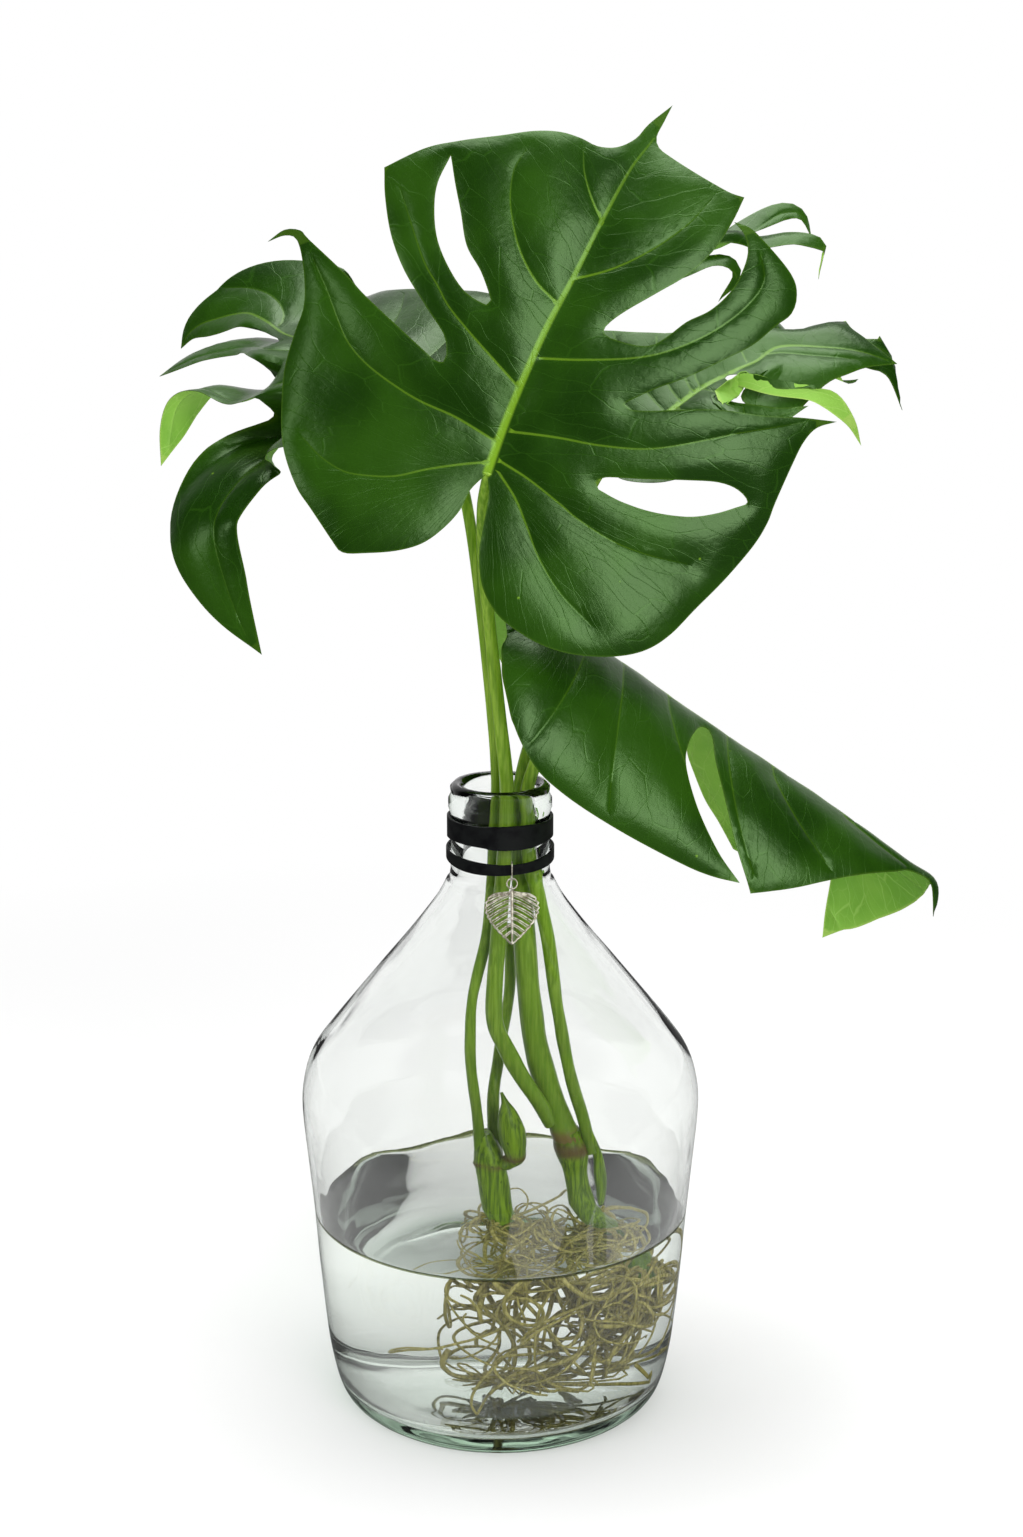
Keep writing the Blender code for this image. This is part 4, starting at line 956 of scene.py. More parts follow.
# %% leaf outlines and how they hang
LEAVES = {
    "leaf_front": dict(
        blade=dict(
            spine=[(-58, -80, 440), (-29, -62, 515), (-6, -45, 571), (27, -34, 641),
                   (62, -12, 704), (94, 22, 764)],
            faces=[(0, -0.95, 0.30), (0, -0.95, 0.30), (0, -0.95, 0.32), (0.02, -0.93, 0.36),
                   (0.04, -0.91, 0.4), (0.05, -0.90, 0.42)],
            joint=2, length=222,
            left=[(-1, 4, -14, 0), (0, 8, -20, 0), (0.5, 10, -22, 0), (1, 6, -10, 0)],
            right=[(-1, 4, -14, 0), (0, 8, -20, 0), (0.5, 10, -22, 0), (1, 6, -10, 0)]),
        edge=[
            [(-2, 0), (-14, -5), (-26, -6), (-39, -11), (-51, -19), (-60, -31), (-67, -46),
             (-71, -58), (-67, -66), (-54, -84), (-45, -96), (-27, -112), (-8, -123),
             (8, -130), (25, -133), (40, -135), (57, -145), (70, -157), (70, -166),
             (63, -175)],
            [(63, -175), (73, -168), (76, -158), (73, -150), (63, -118), (57, -102), (45, -62),
             (42, -52), (43, -47), (47, -47), (56, -53), (65, -68), (78, -89), (92, -106),
             (109, -120), (124, -129)],
            [(124, -129), (146, -112), (158, -97), (171, -77), (182, -61), (188, -48),
             (190, -36), (190, -26), (195, -16), (205, -9), (217, -6), (234, 1)],
            [(234, 1), (222, 1), (212, 1), (206, 5), (203, 14), (200, 28), (198, 41),
             (197, 52), (198, 60)],
            [(198, 60), (182, 60), (164, 58), (146, 52), (128, 41), (112, 31), (102, 26),
             (96, 25), (94, 30), (97, 45), (102, 53), (111, 58), (122, 63), (133, 71),
             (146, 76), (158, 77), (170, 75), (178, 69), (182, 61)],
            [(182, 61), (183, 70), (180, 80), (171, 102), (163, 110), (153, 112), (143, 107),
             (129, 101), (114, 91), (94, 77), (81, 66), (71, 58), (64, 53), (63, 57),
             (67, 67), (77, 85), (87, 102), (97, 124), (109, 145), (119, 165)],
            [(119, 165), (109, 156), (97, 153), (81, 153), (52, 154), (39, 155), (22, 153),
             (-5, 145), (-29, 136), (-48, 128), (-61, 118), (-71, 103), (-78, 83), (-80, 65),
             (-78, 49), (-73, 34), (-62, 21), (-47, 13), (-30, 9), (-14, 6), (-2, 0)]],
        holes=[
            [(147, -97), (128, -96), (113, -90), (99, -80), (88, -66), (81, -52), (80, -39),
             (83, -38), (94, -50), (103, -64), (118, -76), (132, -87)],
            [(15, 60), (18, 57), (23, 61), (31, 80), (41, 102), (48, 119), (49, 131),
             (45, 139), (39, 134), (30, 124), (22, 111), (16, 92), (14, 74)]]),
    "leaf_low": dict(
        blade=dict(
            spine=[(-6, 18, 500), (20, 14, 488), (44, 8, 473), (116, 0, 423), (191, -12, 374),
                   (236, -24, 343), (253, -32, 331), (251, -36, 308)],
            faces=[(0.4, 0.1, 0.9), (0.4, 0.1, 0.9), (0.4, 0.1, 0.9), (0.4, 0.05, 0.9),
                   (0.45, 0, 0.9), (0.5, -0.05, 0.85), (0.7, -0.2, 0.6), (0.8, -0.5, 0)],
            joint=2, length=262,
            left=[(-1, -10, -60, 0), (0, -10, -65, 0), (0.5, -15, -70, 0), (1, -20, -60, 0)],
            right=[(-1, -10, -60, 0), (0, -10, -65, 0), (0.5, -15, -70, 0), (1, -20, -60, 0)]),
        edge=[
            [(-2, 0), (-8, -16), (-18, -20), (-32, -19), (-45, -24), (-52, -42), (-44, -70),
             (-18, -92), (20, -102), (60, -105), (88, -104)],
            [(88, -104), (90, -80), (86, -55), (92, -45), (101, -57), (121, -75), (137, -84),
             (154, -94)],
            [(154, -94), (180, -91), (198, -84)],
            [(198, -84), (191, -60), (187, -42), (192, -37), (203, -58), (217, -92),
             (226, -110)],
            [(226, -110), (235, -92), (243, -66), (250, -36), (257, -14), (277, 0)],
            [(277, 0), (262, 5), (248, 5), (239, 8), (231, 19), (201, 55), (186, 71),
             (167, 87)],
            [(167, 87), (140, 66), (111, 34), (100, 12), (95, 8), (91, 13), (90, 30), (95, 47),
             (113, 65), (137, 79), (158, 86)],
            [(158, 86), (141, 93), (121, 98), (74, 106), (43, 109), (22, 107), (2, 96),
             (-12, 78), (-20, 61), (-34, 44), (-42, 28), (-36, 14), (-20, 6), (-2, 0)]],
        holes=[]),
    "leaf_left": dict(
        blade=dict(
            spine=[(22, -18, 590), (-29, 20, 604), (-72, 54, 621), (-115, 88, 634),
                   (-160, 122, 640)],
            faces=[(0, -0.2, 0.97), (0, -0.2, 0.97), (0, -0.2, 0.97), (-0.05, -0.1, 1),
                   (-0.1, 0, 1)],
            joint=1, length=222,
            left=[(-1, 0, -20, 0), (0, 0, -20, 0), (1, 0, -20, 0)],
            right=[(-1, 20, 0, 0), (0, 22, 0, 0), (0.4, 14, 0, 0), (0.7, 0, -20, 0),
                   (1, -5, -10, 0)],
            lobes=[
                dict(root=(120, 8), tip=(222, 0), curl=30,
                     points=[(-150, 128, 650), (-178, 142, 643), (-192, 148, 636),
                             (-200, 150, 625)],
                     faces=[(-0.2, -0.5, 0.8), (-0.4, -0.6, 0.6), (-0.6, -0.7, 0.4),
                            (-0.6, -0.7, 0.3)]),
                dict(root=(110, -28), tip=(206, -64), curl=-30,
                     points=[(-150, 100, 630), (-180, 106, 624), (-208, 110, 611)],
                     faces=[(-0.1, -0.3, 0.95), (-0.2, -0.3, 0.9), (-0.3, -0.4, 0.8)]),
                dict(root=(78, -48), tip=(170, -148), curl=0,
                     points=[(-148, 62, 602), (-174, 76, 606), (-190, 82, 596),
                             (-198, 80, 578), (-204, 76, 560)],
                     faces=[(0, -0.2, 0.95), (-0.2, 0.1, 0.95), (-0.6, 0.6, 0.5),
                            (-0.6, 0.75, 0.1), (-0.6, 0.75, 0)]),
                dict(root=(38, -55), tip=(85, -212), curl=-30,
                     points=[(-130, 34, 576), (-153, 22, 560), (-167, 4, 534),
                             (-157, -8, 500), (-136, -20, 463)],
                     faces=[(0, -0.2, 0.95), (-0.3, -0.5, 0.8), (-0.5, -0.85, 0.4),
                            (-0.2, -0.95, 0.1), (-0.2, -0.95, 0.1)])]),
        edge=[
            [(-2, 0), (-25, 6), (-46, 18), (-58, 42), (-50, 72), (-25, 88), (8, 90),
             (40, 92), (80, 86), (115, 78), (150, 62), (180, 40), (205, 16), (222, 0)],
            [(222, 0), (195, -10), (165, -14), (140, -14), (133, -18), (140, -24), (165, -32),
             (190, -46), (206, -64)],
            [(206, -64), (180, -62), (150, -56), (122, -48), (113, -49), (116, -58),
             (135, -82), (155, -110), (170, -148)],
            [(170, -148), (145, -136), (118, -115), (96, -92), (80, -76), (74, -80),
             (78, -92), (91, -120), (94, -150), (91, -185), (85, -212)],
            [(85, -212), (62, -182), (46, -150), (32, -118), (16, -84), (-4, -58),
             (-26, -40), (-36, -24), (-30, -10), (-18, -4), (-2, 0)]],
        holes=[]),
    "leaf_right": dict(
        blade=dict(
            spine=[(36, 10, 560), (82, 45, 582), (122, 68, 608), (165, 86, 626),
                   (215, 96, 630)],
            faces=[(-0.3, -0.25, 0.9), (-0.3, -0.25, 0.9), (-0.25, -0.25, 0.95),
                   (-0.1, -0.25, 0.95), (0, -0.25, 0.95)],
            joint=1, length=190,
            left=[(-1, 10, 0, 0), (0, 25, 20, 0), (0.5, 25, 20, 0), (1, 0, 0, 0)],
            right=[(-1, 0, -20, 0), (0, -5, -30, 0), (1, -10, -20, 0)],
            lobes=[
                dict(root=(80, 5), tip=(176, 20), curl=-20,
                     points=[(165, 84, 627), (190, 84, 628), (215, 86, 626),
                             (238, 88, 620)],
                     faces=[(0, -0.6, 0.8), (0, -0.6, 0.8), (0.05, -0.65, 0.75),
                            (0.1, -0.7, 0.7)]),
                dict(root=(100, -32), tip=(180, -90), curl=-20,
                     points=[(190, 114, 628), (222, 114, 627), (242, 112, 614),
                             (248, 106, 588)],
                     faces=[(0, -0.4, 0.9), (0.2, -0.6, 0.7), (0.5, -0.8, 0.2),
                            (0.5, -0.85, 0)]),
                dict(root=(62, 18), tip=(134, 100), curl=0,
                     points=[(128, 52, 616), (155, 50, 609), (186, 51, 605),
                             (205, 55, 590), (214, 60, 574)],
                     faces=[(0.2, 0.5, 0.6), (0.2, 0.9, -0.1), (0.2, 0.95, -0.2),
                            (0.4, 0.9, 0.1), (0.4, 0.9, 0.2)]),
                dict(root=(34, 32), tip=(98, 82), curl=-20,
                     points=[(122, 54, 604), (140, 48, 597), (160, 46, 594),
                             (180, 46, 598)],
                     faces=[(0, -0.6, 0.7), (0, -0.9, 0.4), (0, -0.95, 0.3),
                            (0, -0.95, 0.3)]),
                dict(root=(62, -98), tip=(152, -128), curl=20,
                     points=[(128, 155, 682), (152, 170, 697), (176, 180, 709),
                             (190, 180, 706), (196, 176, 691)],
                     faces=[(-0.3, -0.6, 0.7), (-0.3, -0.7, 0.6), (-0.1, -0.8, 0.6),
                            (0.6, -0.7, 0.3), (0.8, -0.5, 0)]),
                dict(root=(98, -97), tip=(168, -92), curl=20,
                     points=[(160, 158, 691), (182, 160, 694), (200, 160, 690),
                             (191, 155, 675)],
                     faces=[(-0.2, -0.5, 0.8), (-0.1, -0.5, 0.8), (0.3, -0.8, 0.5),
                            (0.2, -0.9, 0)]),
                dict(root=(72, -84), tip=(122, -64), curl=10,
                     points=[(128, 140, 678), (142, 140, 676), (144, 140, 668),
                             (132, 136, 655)],
                     faces=[(-0.2, -0.5, 0.8), (0.2, -0.6, 0.7), (0.7, -0.6, 0.3),
                            (0.6, -0.8, 0)])]),
        edge=[
            [(-2, 0), (-20, 5), (-38, 14), (-46, 34), (-34, 52), (-8, 58), (20, 56),
             (45, 62), (70, 74), (98, 82)],
            [(98, 82), (78, 62), (60, 50), (46, 36), (44, 28), (50, 28), (62, 38), (80, 56),
             (100, 74), (134, 100)],
            [(134, 100), (118, 74), (102, 56), (86, 40), (72, 22), (65, 6), (68, 1), (74, 6),
             (82, 18), (94, 32), (112, 40), (135, 35), (155, 27), (176, 20)],
            [(176, 20), (158, 2), (152, -14), (164, -46)],
            [(164, -46), (146, -24), (128, -14), (116, -14), (112, -20), (120, -28),
             (140, -40), (160, -58), (180, -90)],
            [(180, -90), (155, -80), (132, -64), (112, -48), (94, -38), (74, -38), (53, -55),
             (40, -70), (33, -79), (38, -87), (60, -85), (76, -78), (96, -70), (122, -64)],
            [(122, -64), (104, -80), (88, -86), (84, -91), (92, -93), (115, -89), (140, -87),
             (168, -92)],
            [(168, -92), (142, -98), (122, -101), (114, -105), (120, -109), (136, -114),
             (152, -128)],
            [(152, -128), (130, -127), (105, -122), (75, -116), (40, -112), (10, -104),
             (-20, -88), (-44, -62), (-54, -36), (-44, -14), (-25, -6), (-2, 0)]],
        holes=[]),
}

# %% [markdown]
# The side veins leave the midrib and bow forward into the lobes. On the front leaf each one is a list
# of points, most of them worked out by another program. On the other leaves a vein is given by where
# it starts on the midrib and where it ends, and it leaves at a steep angle and bends over towards its
# end, which is how they grow.

# %% veins
FRONT_VEINS = [
    [(4, -2), (-3, -15), (-13, -32), (-22, -46), (-27, -61), (-29, -74), (-26, -89), (-20, -103)],
    [(16, -3), (19, -28), (19, -49), (21, -66), (25, -85), (31, -100), (40, -112), (52, -126),
     (64, -142)],
    [(48, -4), (57, -26), (64, -43), (71, -58), (78, -68), (86, -81), (101, -98), (116, -114)],
    [(98, -5), (103, -21), (113, -36), (125, -47), (139, -56), (155, -61), (169, -60)],
    [(150, -4), (160, -16), (172, -26), (184, -32)],
    [(1, 6), (-9, 20), (-22, 32), (-36, 44), (-50, 62), (-60, 84)],
    [(7, 5), (4, 23), (-2, 44), (-6, 56), (-10, 78), (-9, 99), (-4, 122)],
    [(25, 5), (32, 28), (38, 51), (48, 76), (65, 100), (84, 122), (108, 148)],
    [(67, 0), (77, 24), (90, 47), (104, 63), (124, 78), (145, 88), (160, 90), (172, 82)],
    [(114, -4), (128, 12), (146, 26), (168, 38), (188, 44)]]
FRONT_MIDRIB = [(-2, 0), (26, -2), (49, -3), (82, -4), (114, -4), (148, -5), (186, -4), (210, 0),
                (230, 1)]
VEIN_ENDS = {
    "leaf_low": [(2, -40, -60), (8, 10, -96), (30, 74, -98), (70, 144, -82), (108, 194, -80),
                 (150, 233, -100), (198, 256, -34), (2, -32, 52), (8, 14, 98), (34, 72, 100),
                 (66, 150, 82), (108, 163, 78), (140, 200, 46), (190, 240, 6)],
    "leaf_left": [(2, -30, -26), (22, 84, -200), (56, 168, -142), (90, 203, -62),
                  (2, -50, 40), (8, -8, 80), (34, 42, 84), (70, 102, 74), (104, 152, 54),
                  (140, 190, 26)],
    "leaf_right": [(2, -46, -40), (8, 0, -98), (22, 58, -110), (34, 146, -126), (44, 162, -92),
                   (50, 118, -66), (84, 176, -86), (2, -38, 38), (8, 4, 50), (28, 94, 80),
                   (50, 130, 96), (96, 150, 22)]}
MIDRIBS = {"leaf_low": [(-2, 0), (60, 0), (140, 0), (220, 0), (270, 0)],
           "leaf_left": [(-2, 0), (60, 0), (140, -2), (190, 2), (216, 1)],
           "leaf_right": [(-2, 0), (60, 0), (100, 4), (140, 12), (170, 19)]}


def bowed(start, tip_u, tip_v):
    """A side vein from its start on the midrib to its end."""
    root, end = np.array((start, math.copysign(1.5, tip_v))), np.array((tip_u, tip_v), float)
    reach = abs(tip_v)
    knee = root + (0.10 * reach, math.copysign(0.55 * reach, tip_v))
    if tip_u < start:
        knee = root + (end - root) * 0.5 + (0.12 * reach, 0)
    t = np.linspace(0, 1, 8)[:, None]
    return (1 - t) ** 2 * root + 2 * t * (1 - t) * knee + t * t * end


def rib_lines(name):
    """(points, half widths, paleness) of each vein of a leaf, the midrib first."""
    middle = FRONT_MIDRIB if name == "leaf_front" else MIDRIBS[name]
    lines = [(through(middle, 3.5), 2.7, 0.35, 1.0, 0.12)]
    sides, pale = FRONT_VEINS, 0.5
    if name != "leaf_front":
        sides, pale = [bowed(*ends) for ends in VEIN_ENDS[name]], 0.2
    lines += [(through(side, 3.5), 0.75, 0.25, pale, 0.05) for side in sides]
    return [(line, np.linspace(wide, thin, len(line)), np.linspace(pale, dim, len(line)))
            for line, wide, thin, pale, dim in lines]


# %% [markdown]
# The flat leaf is filled with triangles by a Delaunay fill. Points are set along the margin, along
# the veins and on a loose grid between them, so that every vein has its own row of corners. That
# gives crisp ribs without an enormous mesh. Then each point gets its distance to the nearest vein
# and to the margin, which shape the surface and tell the finish where to draw.

# %% flat leaf with its margins and veins
EDGE_STEP = 3.0
GRID_STEP = 4.6


def inside(points, loop):
    """Which points lie inside a closed loop."""
    x, y = points[:, 0][:, None], points[:, 1][:, None]
    a, b = loop, np.roll(loop, -1, axis=0)
    span = (a[:, 1] > y) != (b[:, 1] > y)
    rise = np.where(b[:, 1] == a[:, 1], 1.0, b[:, 1] - a[:, 1])
    cross = a[:, 0] + (y - a[:, 1]) * (b[:, 0] - a[:, 0]) / rise
    return (span & (x < cross)).sum(1) % 2 == 1


def to_lines(points, starts, ends):
    """Distance from each point to each of many short lines, and how far along it."""
    span = ends - starts
    reach = np.maximum((span ** 2).sum(1), 1e-9)
    away = points[:, None] - starts[None]
    along = np.clip((away * span).sum(2) / reach, 0, 1)
    return np.linalg.norm(away - along[:, :, None] * span, axis=2), along


def fill(points, edges, holes):
    """Triangles between the outline's edges, less those inside a hole."""
    made = geometry.delaunay_2d_cdt([Vector(p) for p in points], edges, [], 1, 1e-6)
    points = np.array([tuple(p) for p in made[0]])
    faces = np.array([list(tri) for tri in made[2]])
    middles = points[faces].mean(1)
    for hole in holes:
        keep = ~inside(middles, np.asarray(hole, float))
        faces, middles = faces[keep], middles[keep]
    a, b, c = (points[faces[:, i]] for i in range(3))
    area = (b - a)[:, 0] * (c - a)[:, 1] - (b - a)[:, 1] * (c - a)[:, 0]
    faces[area > 0] = faces[area > 0][:, ::-1]
    return points, faces


def flat_leaf(leaf, ribs):
    """(points, triangles, distance to margin and ribs, the same over rib width, paleness)."""
    rim = np.vstack([through(part, EDGE_STEP)[:-1] for part in leaf["edge"]])
    loops = [rim] + [through(list(h) + [h[0]], EDGE_STEP)[:-1] for h in leaf["holes"]]
    edges, first = [], 0
    for loop in loops:
        edges += [(first + i, first + (i + 1) % len(loop)) for i in range(len(loop))]
        first += len(loop)
    starts = np.vstack(loops)
    ends = np.vstack([np.roll(loop, -1, axis=0) for loop in loops])

    def within(points, room):
        keep = inside(points, rim)
        for loop in loops[1:]:
            keep &= ~inside(points, loop)
        return keep & (to_lines(points, starts, ends)[0].min(1) > room)

    points = starts
    rib_starts, rib_ends, rib_width, rib_pale = [], [], [], []
    for line, width, pale in ribs:
        rib_starts.append(line[:-1])
        rib_ends.append(line[1:])
        rib_width.append((width[:-1] + width[1:]) / 2)
        rib_pale.append((pale[:-1] + pale[1:]) / 2)
        kept = within(line, 1.2)
        points = np.vstack([points, line[kept]])
        numbers = np.cumsum(kept) - 1 + first
        edges += [(int(numbers[i]), int(numbers[i + 1])) for i in range(len(line) - 1)
                  if kept[i] and kept[i + 1]]
        first += int(kept.sum())
        for side in (-1, 1):
            run = np.gradient(line, axis=0)
            run /= np.linalg.norm(run, axis=1)[:, None]
            beside = line + side * np.stack([-run[:, 1], run[:, 0]], 1) * (width + 0.5)[:, None]
            beside = beside[within(beside, 1.2)]
            points = np.vstack([points, beside])
            first += len(beside)
    rib_starts, rib_ends = np.vstack(rib_starts), np.vstack(rib_ends)
    rib_width, rib_pale = np.concatenate(rib_width), np.concatenate(rib_pale)
    low, high = rim.min(0), rim.max(0)
    rows = np.arange(low[1], high[1], GRID_STEP * 0.87)
    grid = np.array([(x + (i % 2) * GRID_STEP / 2, y) for i, y in enumerate(rows)
                     for x in np.arange(low[0], high[0], GRID_STEP)])
    grid = grid[within(grid, 1.8)]
    near = to_lines(grid, rib_starts, rib_ends)[0] - rib_width
    grid = grid[near.min(1) > 2.2]
    points, faces = fill(np.vstack([points, grid]), edges, loops[1:])
    to_rim = to_lines(points, starts, ends)[0].min(1)
    away = to_lines(points, rib_starts, rib_ends)[0]
    shares = away / rib_width
    return (points, faces, to_rim, away.min(1), shares.min(1),
            rib_pale[np.argmin(shares, axis=1)])


# %% [markdown]
# Bent into the room, the sheet is shaped a little more: it swells between the veins, sinks along
# them, and has slow ripples. The upper and lower skins are then set apart. The blade is under a
# millimetre thick, thinner at its margin, and the ribs stand out as ridges on the underside.

# %% solid leaf
SWELL = 1.7
RIPPLE = 0.4
THICK = 0.85


def solid_leaf(name, node, leaf, seed):
    ribs = rib_lines(node)
    flat, faces, to_rim, to_rib, share, pale = flat_leaf(leaf, ribs)
    blade = Blade(**leaf["blade"])
    sheet = blade.place(flat)
    normals = np.zeros_like(sheet)
    corners = sheet[faces]
    turn = np.cross(corners[:, 1] - corners[:, 0], corners[:, 2] - corners[:, 0])
    for i in range(3):
        np.add.at(normals, faces[:, i], turn)
    normals /= np.maximum(np.linalg.norm(normals, axis=1), 1e-9)[:, None]
    ease = np.clip(to_rim / 12, 0, 1)
    lift = SWELL * (1 - np.exp(-(to_rib / 10) ** 2)) * ease
    lift += RIPPLE * lumps(np.column_stack([flat, flat[:, 0] * 0]), 16.0, seed) * ease
    lift -= 0.45 * np.clip(1.3 - share, 0, 1) * np.clip(to_rim / 4, 0, 1)
    lift -= 0.4 * np.clip(1 - to_rim / 5, 0, 1) ** 2
    ridge = np.clip(1.35 - share, 0, 1.35) * np.clip(to_rib / np.maximum(share, 0.05), 0.3, 2.7)
    thick = 0.3 + (THICK - 0.3) * np.clip(to_rim / 3, 0, 1)
    upper = sheet + normals * (lift + thick / 2)[:, None]
    lower = sheet + normals * (lift - thick / 2 - ridge * ease * 0.9)[:, None]
    count = len(flat)
    seen = {(int(f[k]), int(f[(k + 1) % 3])) for f in faces for k in range(3)}
    rim = [edge for edge in sorted(seen) if edge[::-1] not in seen]
    solid = faces.tolist() + (faces[:, ::-1] + count).tolist()
    solid += [[b, a, a + count, b + count] for a, b in rim]
    obj = new_mesh(name, np.vstack([upper, lower]), [], solid)
    mesh = obj.data
    slots = [0] * len(faces) + [1] * (len(faces)) + [0] * len(rim)
    mesh.polygons.foreach_set("material_index", slots)
    for label, values in (("rib", share), ("rim", to_rim), ("glow", pale)):
        stored = mesh.attributes.new(label, "FLOAT", "POINT")
        stored.data.foreach_set("value", np.tile(np.minimum(values, 12), 2).astype(np.float32))
    station = blade.station(flat[:, 0], np.abs(flat[:, 1]))
    vein_map = np.column_stack([station * blade.length / 100 + seed, flat[:, 1] / 100])
    layer = mesh.uv_layers.new(name="veins")
    loops = np.zeros(len(mesh.loops), np.int32)
    mesh.loops.foreach_get("vertex_index", loops)
    layer.data.foreach_set("uv", vein_map[loops % count].astype(np.float32).ravel())
    return finish_piece(obj, PLANT, [node], "leaf", LEAF_TOP, LEAF_UNDER, angle=60)


for seed, (name, node) in enumerate((("front_blade", "leaf_front"), ("low_blade", "leaf_low"),
                                     ("left_blade", "leaf_left"), ("right_blade", "leaf_right"))):
    solid_leaf(name, node, LEAVES[node], seed + 1)

# %% [markdown]
# ## Stalks, cuttings and bud
#
# Each stalk is a round section swept along its own line, with the radius given at each point. About
# half of these points lie within 4 mm of places that another program worked out. The cuttings they
# grow from are thicker and knobbly, with brown scars where older leaves were. After sweeping, slow
# noise takes the machine-made look off them.

# %% stalk lines
STEMS = {
    "petiole_front": [(-6.5, -40.5, 566, 3.4), (-9, -32, 548, 3.6), (-9, -21, 517, 3.7),
                      (-5, -12, 470, 3.8), (0, -10, 422, 4.0), (4, -8, 383, 4.2),
                      (3, -8, 350, 4.4), (1, -8, 322, 4.6), (-1, -11, 292, 4.8),
                      (-3, -14, 265, 4.9), (-3, -14, 240, 5.0), (4, -13, 222, 5.0),
                      (14, -11, 202, 5.0), (21, -10, 190, 4.8)],
    "petiole_left": [(-31, 18, 597, 3.4), (-25, 14, 570, 3.4), (-19, 9, 545, 3.4),
                     (-14, 6, 514, 3.4), (-10, 5, 479, 3.5), (-5, 5, 432, 3.6),
                     (-2, 6, 383, 3.6), (-4, 7, 349, 3.5), (-5, 5, 322, 3.4),
                     (-8, 0, 289, 3.4), (-14, -4, 264, 3.4), (-17, -6, 246, 3.4),
                     (-18, -8, 211, 3.4), (-15, -8, 184, 3.5), (-12, -8, 159.5, 3.8)],
    "petiole_low": [(43, 12, 464, 4.6), (32, 12, 436, 4.7), (19, 9, 405, 4.9),
                    (12, 6, 374, 5.2), (12, 5, 350, 5.6), (13, 3, 319, 6.2),
                    (15, 0, 280, 6.8), (18, 0, 244, 7.0), (23, 0, 212, 7.2),
                    (33, 0, 181, 7.6), (41, 0, 160, 8.0)],
    "petiole_right": [(78, 43, 574, 3.4), (63, 41, 566, 3.5), (52, 39, 550, 3.6),
                      (41, 34, 524, 3.6), (32, 27, 498, 3.7), (27, 18, 470, 3.8),
                      (25, 8, 445, 3.8), (26, 0, 420, 3.9), (22, -4, 400, 3.9),
                      (16, -5, 380, 4.0), (15.5, -7, 352, 4.0), (16.5, -8, 336, 4.0),
                      (21, -10, 320, 4.0), (28, -7, 289, 4.0), (33, -3, 253, 4.0),
                      (38, -1, 221, 4.0), (43, -1, 199, 4.0), (52, 0, 168, 4.0)],
    "petiole_stub": [(6, 17, 286, 3.2), (6, 15, 254, 3.4), (3, 12, 231, 3.5),
                     (-1, 8, 205, 3.6), (-4, 3, 186, 3.8), (-4, -1, 166, 4.0)],
    "stem_left": [(-8, -7, 157, 7.6), (-6, -8, 140, 8.6), (-3, -8, 122, 8.8),
                  (0, -8, 104, 7.6), (2, -8, 92, 5.0)],
    "stem_right": [(41.8, 0, 158, 8.8), (45, 0, 148, 9.4), (47, -1, 134, 7.6),
                   (51, -3, 116, 8.2), (58, -5, 100, 8.6), (66, -7, 88, 7.0)],
    "stem_side": [(54, 0, 164, 3.6), (60, 1, 150, 3.4), (62, 1, 136, 3.2), (63, 1, 122, 2.8)],
    "bud": [(3, -19, 190, 1.8), (4.5, -19, 183, 5.4), (6, -19, 173, 8.0), (7.5, -19, 164, 7.2),
            (8, -17, 156, 4.8)],
}
ENDS = {      # where each stalk goes on, into its leaf at the top and its cutting at the foot
    "petiole_front": [(-6, -43.5, 571, 3.8), (30, -4, 172, 4.4)],
    "petiole_left": [(-30, 19.5, 602.5, 3.6), (-10, -8, 148, 5.0)],
    "petiole_low": [(45, 10, 471, 4.4), (43.5, 0, 150, 8.8)],
    "petiole_right": [(81.5, 45, 580, 3.4), (56, 0, 152, 4.0)],
    "petiole_stub": [(6, 18, 290, 2.4), (-4, -4, 150, 5.0)],
    "stem_left": [(-10, -7, 166, 4.5), (2.5, -8, 86, 2.5)],
    "stem_right": [(40, 0, 166, 8.2), (73, -8, 74, 5.0)],
    "stem_side": [(50, 0, 174, 3.6), (63, 1, 114, 1.6)],
    "bud": [(1, -19, 196, 0.5), (2, -11, 149, 5.0)]}
SCARS = {     # brown rings: (height, half width)
    "petiole_low": [(163, 5)], "stem_right": [(156, 4.5)], "bud": [(157, 3)],
    "stem_left": [(148, 1.5)]}
NAMES = {"petiole_front": "front_stalk", "petiole_left": "left_stalk",
         "petiole_low": "low_stalk", "petiole_right": "right_stalk", "petiole_stub": "cut_stalk",
         "stem_left": "left_cutting", "stem_right": "right_cutting", "stem_side": "side_shoot",
         "bud": "growing_tip"}


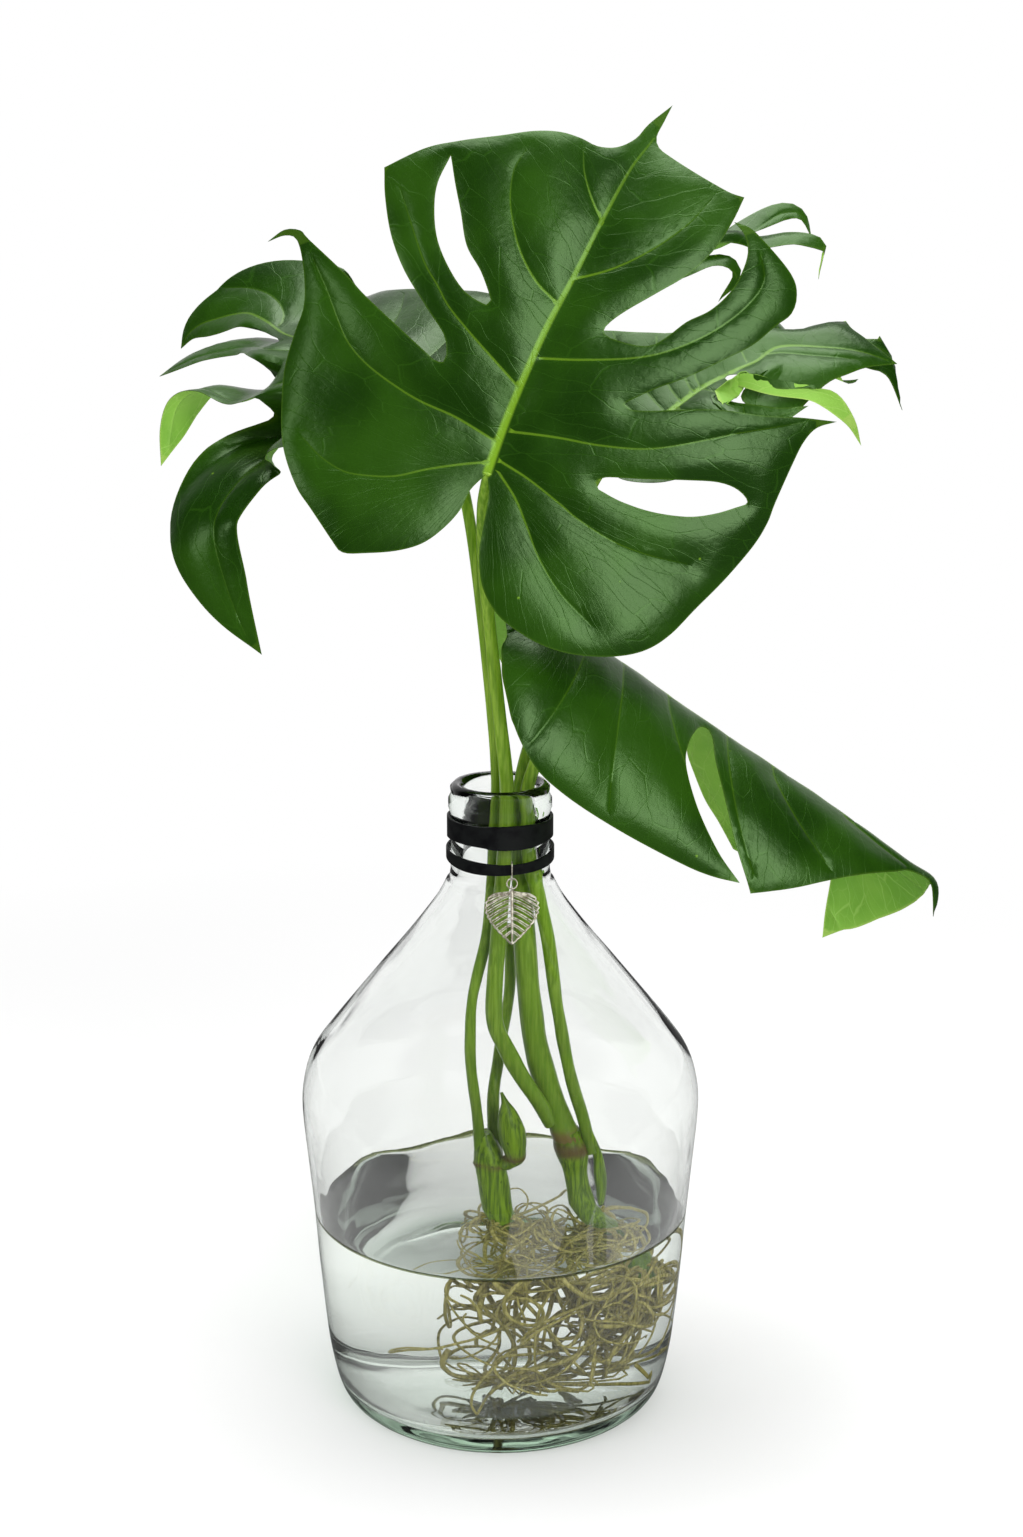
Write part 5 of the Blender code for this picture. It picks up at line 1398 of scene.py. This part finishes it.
def make_stalk(node):
    above, below = ENDS[node]
    rows = through([above] + STEMS[node] + [below], 3.0)
    stalk = swept(NAMES[node], [rows.tolist()], 6)
    woody = not node.startswith("petiole")
    depth = 0.9 if woody else 0.25

    def roughen(points):
        away = np.linalg.norm(points[:, None] - rows[None, :, :3], axis=2)
        near = rows[np.argmin(away, axis=1)]
        out = points - near[:, :3]
        out /= np.maximum(np.linalg.norm(out, axis=1), 1e-6)[:, None]
        swell = depth * lumps(points * (1, 1, 0.5), 11.0 if woody else 16.0, 21)
        for height, width in SCARS.get(node, []):
            swell += 0.9 * np.exp(-((points[:, 2] - height) / width) ** 2)
        return out * swell[:, None]

    move_points(stalk, roughen)
    heights = np.array([v.co.z for v in stalk.data.vertices]) / MM
    scar = np.zeros(len(heights))
    for height, width in SCARS.get(node, []):
        scar = np.maximum(scar, np.exp(-((heights - height) / width) ** 4))
    stored = stalk.data.attributes.new("scar", "FLOAT", "POINT")
    stored.data.foreach_set("value", scar.astype(np.float32))
    finish = STEM if woody else STALK
    return finish_piece(stalk, PLANT, [node], "stem" if woody else "petiole", finish, angle=50)


for node in STEMS:
    make_stalk(node)

# %% [markdown]
# ## Roots
#
# Water roots are long, pale and hardly tapered, and they turn wherever they touch the glass. Each
# strand here starts at a cutting and wanders: its heading turns by smooth random amounts, it is
# drawn back towards the middle of the tangle and it is kept off the glass. The seed is fixed, so the
# tangle is the same every time.

# %% the tangle of roots
chance = np.random.default_rng(7)


def wall_at(z):
    """Inner radius of the bottle at a height, less room for a root."""
    return float(np.interp(z, inner_wall[::-1, 1], inner_wall[::-1, 0])) - 2.2


def floor_at(x, y):
    """Height of the glass under a place, plus room for a root."""
    reach = math.hypot(x, y)
    base = inner_wall[inner_wall[:, 1] < 40][::-1]
    return float(np.interp(reach, base[:, 0], base[:, 1])) + 2.0


def strand(start, heading, length, radius, middle, sink, pull):
    """One root as rows of (x, y, z, radius)."""
    step = 6.0
    here, way = np.array(start, float), np.array(heading, float)
    spin = chance.normal(0, 1, 3)
    rows = []
    count = int(length / step)
    for i in range(count):
        rows.append((*here, radius * (1 - 0.6 * i / count)))
        spin = spin * 0.92 + chance.normal(0, 1, 3) * 0.30
        way = way + np.cross(spin, way) * 0.30 + (middle - here) * pull
        way[2] -= sink
        way /= np.linalg.norm(way)
        here = here + way * step
        if here[2] > WATER_Z - 3:
            way[2] = -abs(way[2])
        here = keep_in(here)
        if here[2] <= floor_at(here[0], here[1]) + 0.1:
            way[2] = abs(way[2]) * 0.1
        reach = math.hypot(here[0], here[1])
        if reach > wall_at(here[2]) - 0.5:
            way[:2] -= here[:2] / reach * 0.7
    smooth = through(rows, 4.0)
    return [(*keep_in(row[:3]), row[3]) for row in smooth]


def keep_in(point):
    """The point, moved in from the glass and down to the water if it has to be."""
    x, y, z = point
    z = min(max(z, floor_at(x, y)), WATER_Z + 4)
    reach = max(math.hypot(x, y), 1e-6)
    room = min(1.0, wall_at(z) / reach)
    return np.array((x * room, y * room, z))


def tangle(name, nodes, foot, spread, middle, count, thick, reach, sink, pull):
    lines = []
    for _ in range(count):
        start = np.array(foot) + chance.normal(0, 1, 3) * spread
        heading = chance.normal(0, 1, 3) * (1, 1, 0.45)
        heading /= np.linalg.norm(heading)
        length = chance.uniform(*reach)
        lines.append(strand(start, heading, length, chance.uniform(*thick), np.array(middle),
                            sink, pull))
    roots = swept(name, lines, 1)
    return finish_piece(roots, PLANT, nodes, "root", ROOT, angle=80)


tangle("roots_of_left_cutting", [f"root_{i:02d}" for i in range(1, 5)], (2, -8, 96), (4, 4, 7),
       (14, -12, 74), 24, (1.1, 1.9), (80, 230), 0.03, 0.0040)
tangle("roots_of_right_cutting", [f"root_{i:02d}" for i in range(5, 11)], (66, -6, 84), (5, 5, 7),
       (42, -8, 56), 42, (1.1, 2.0), (90, 280), 0.02, 0.0042)
tangle("roots_on_the_bottom", [], (40, -6, 30), (30, 30, 8), (20, -6, 20), 16, (1.0, 1.6),
       (90, 220), 0.10, 0.0030)

# %% [markdown]
# ## Closing
#
# The three lamps leave the glass and the water unlit, so that no lamp shows as a highlight on the
# bottle.

# %% lamps that leave the glass alone
clear_things = bpy.data.collections.new("clear_things")
for clear in ("glass_bottle", "still_water_body"):
    clear_things.objects.link(bpy.data.objects[clear])
for entry in clear_things.collection_objects:
    entry.light_linking.link_state = "EXCLUDE"
for name in ("front", "left", "top"):
    bpy.data.objects[name].light_linking.receiver_collection = clear_things
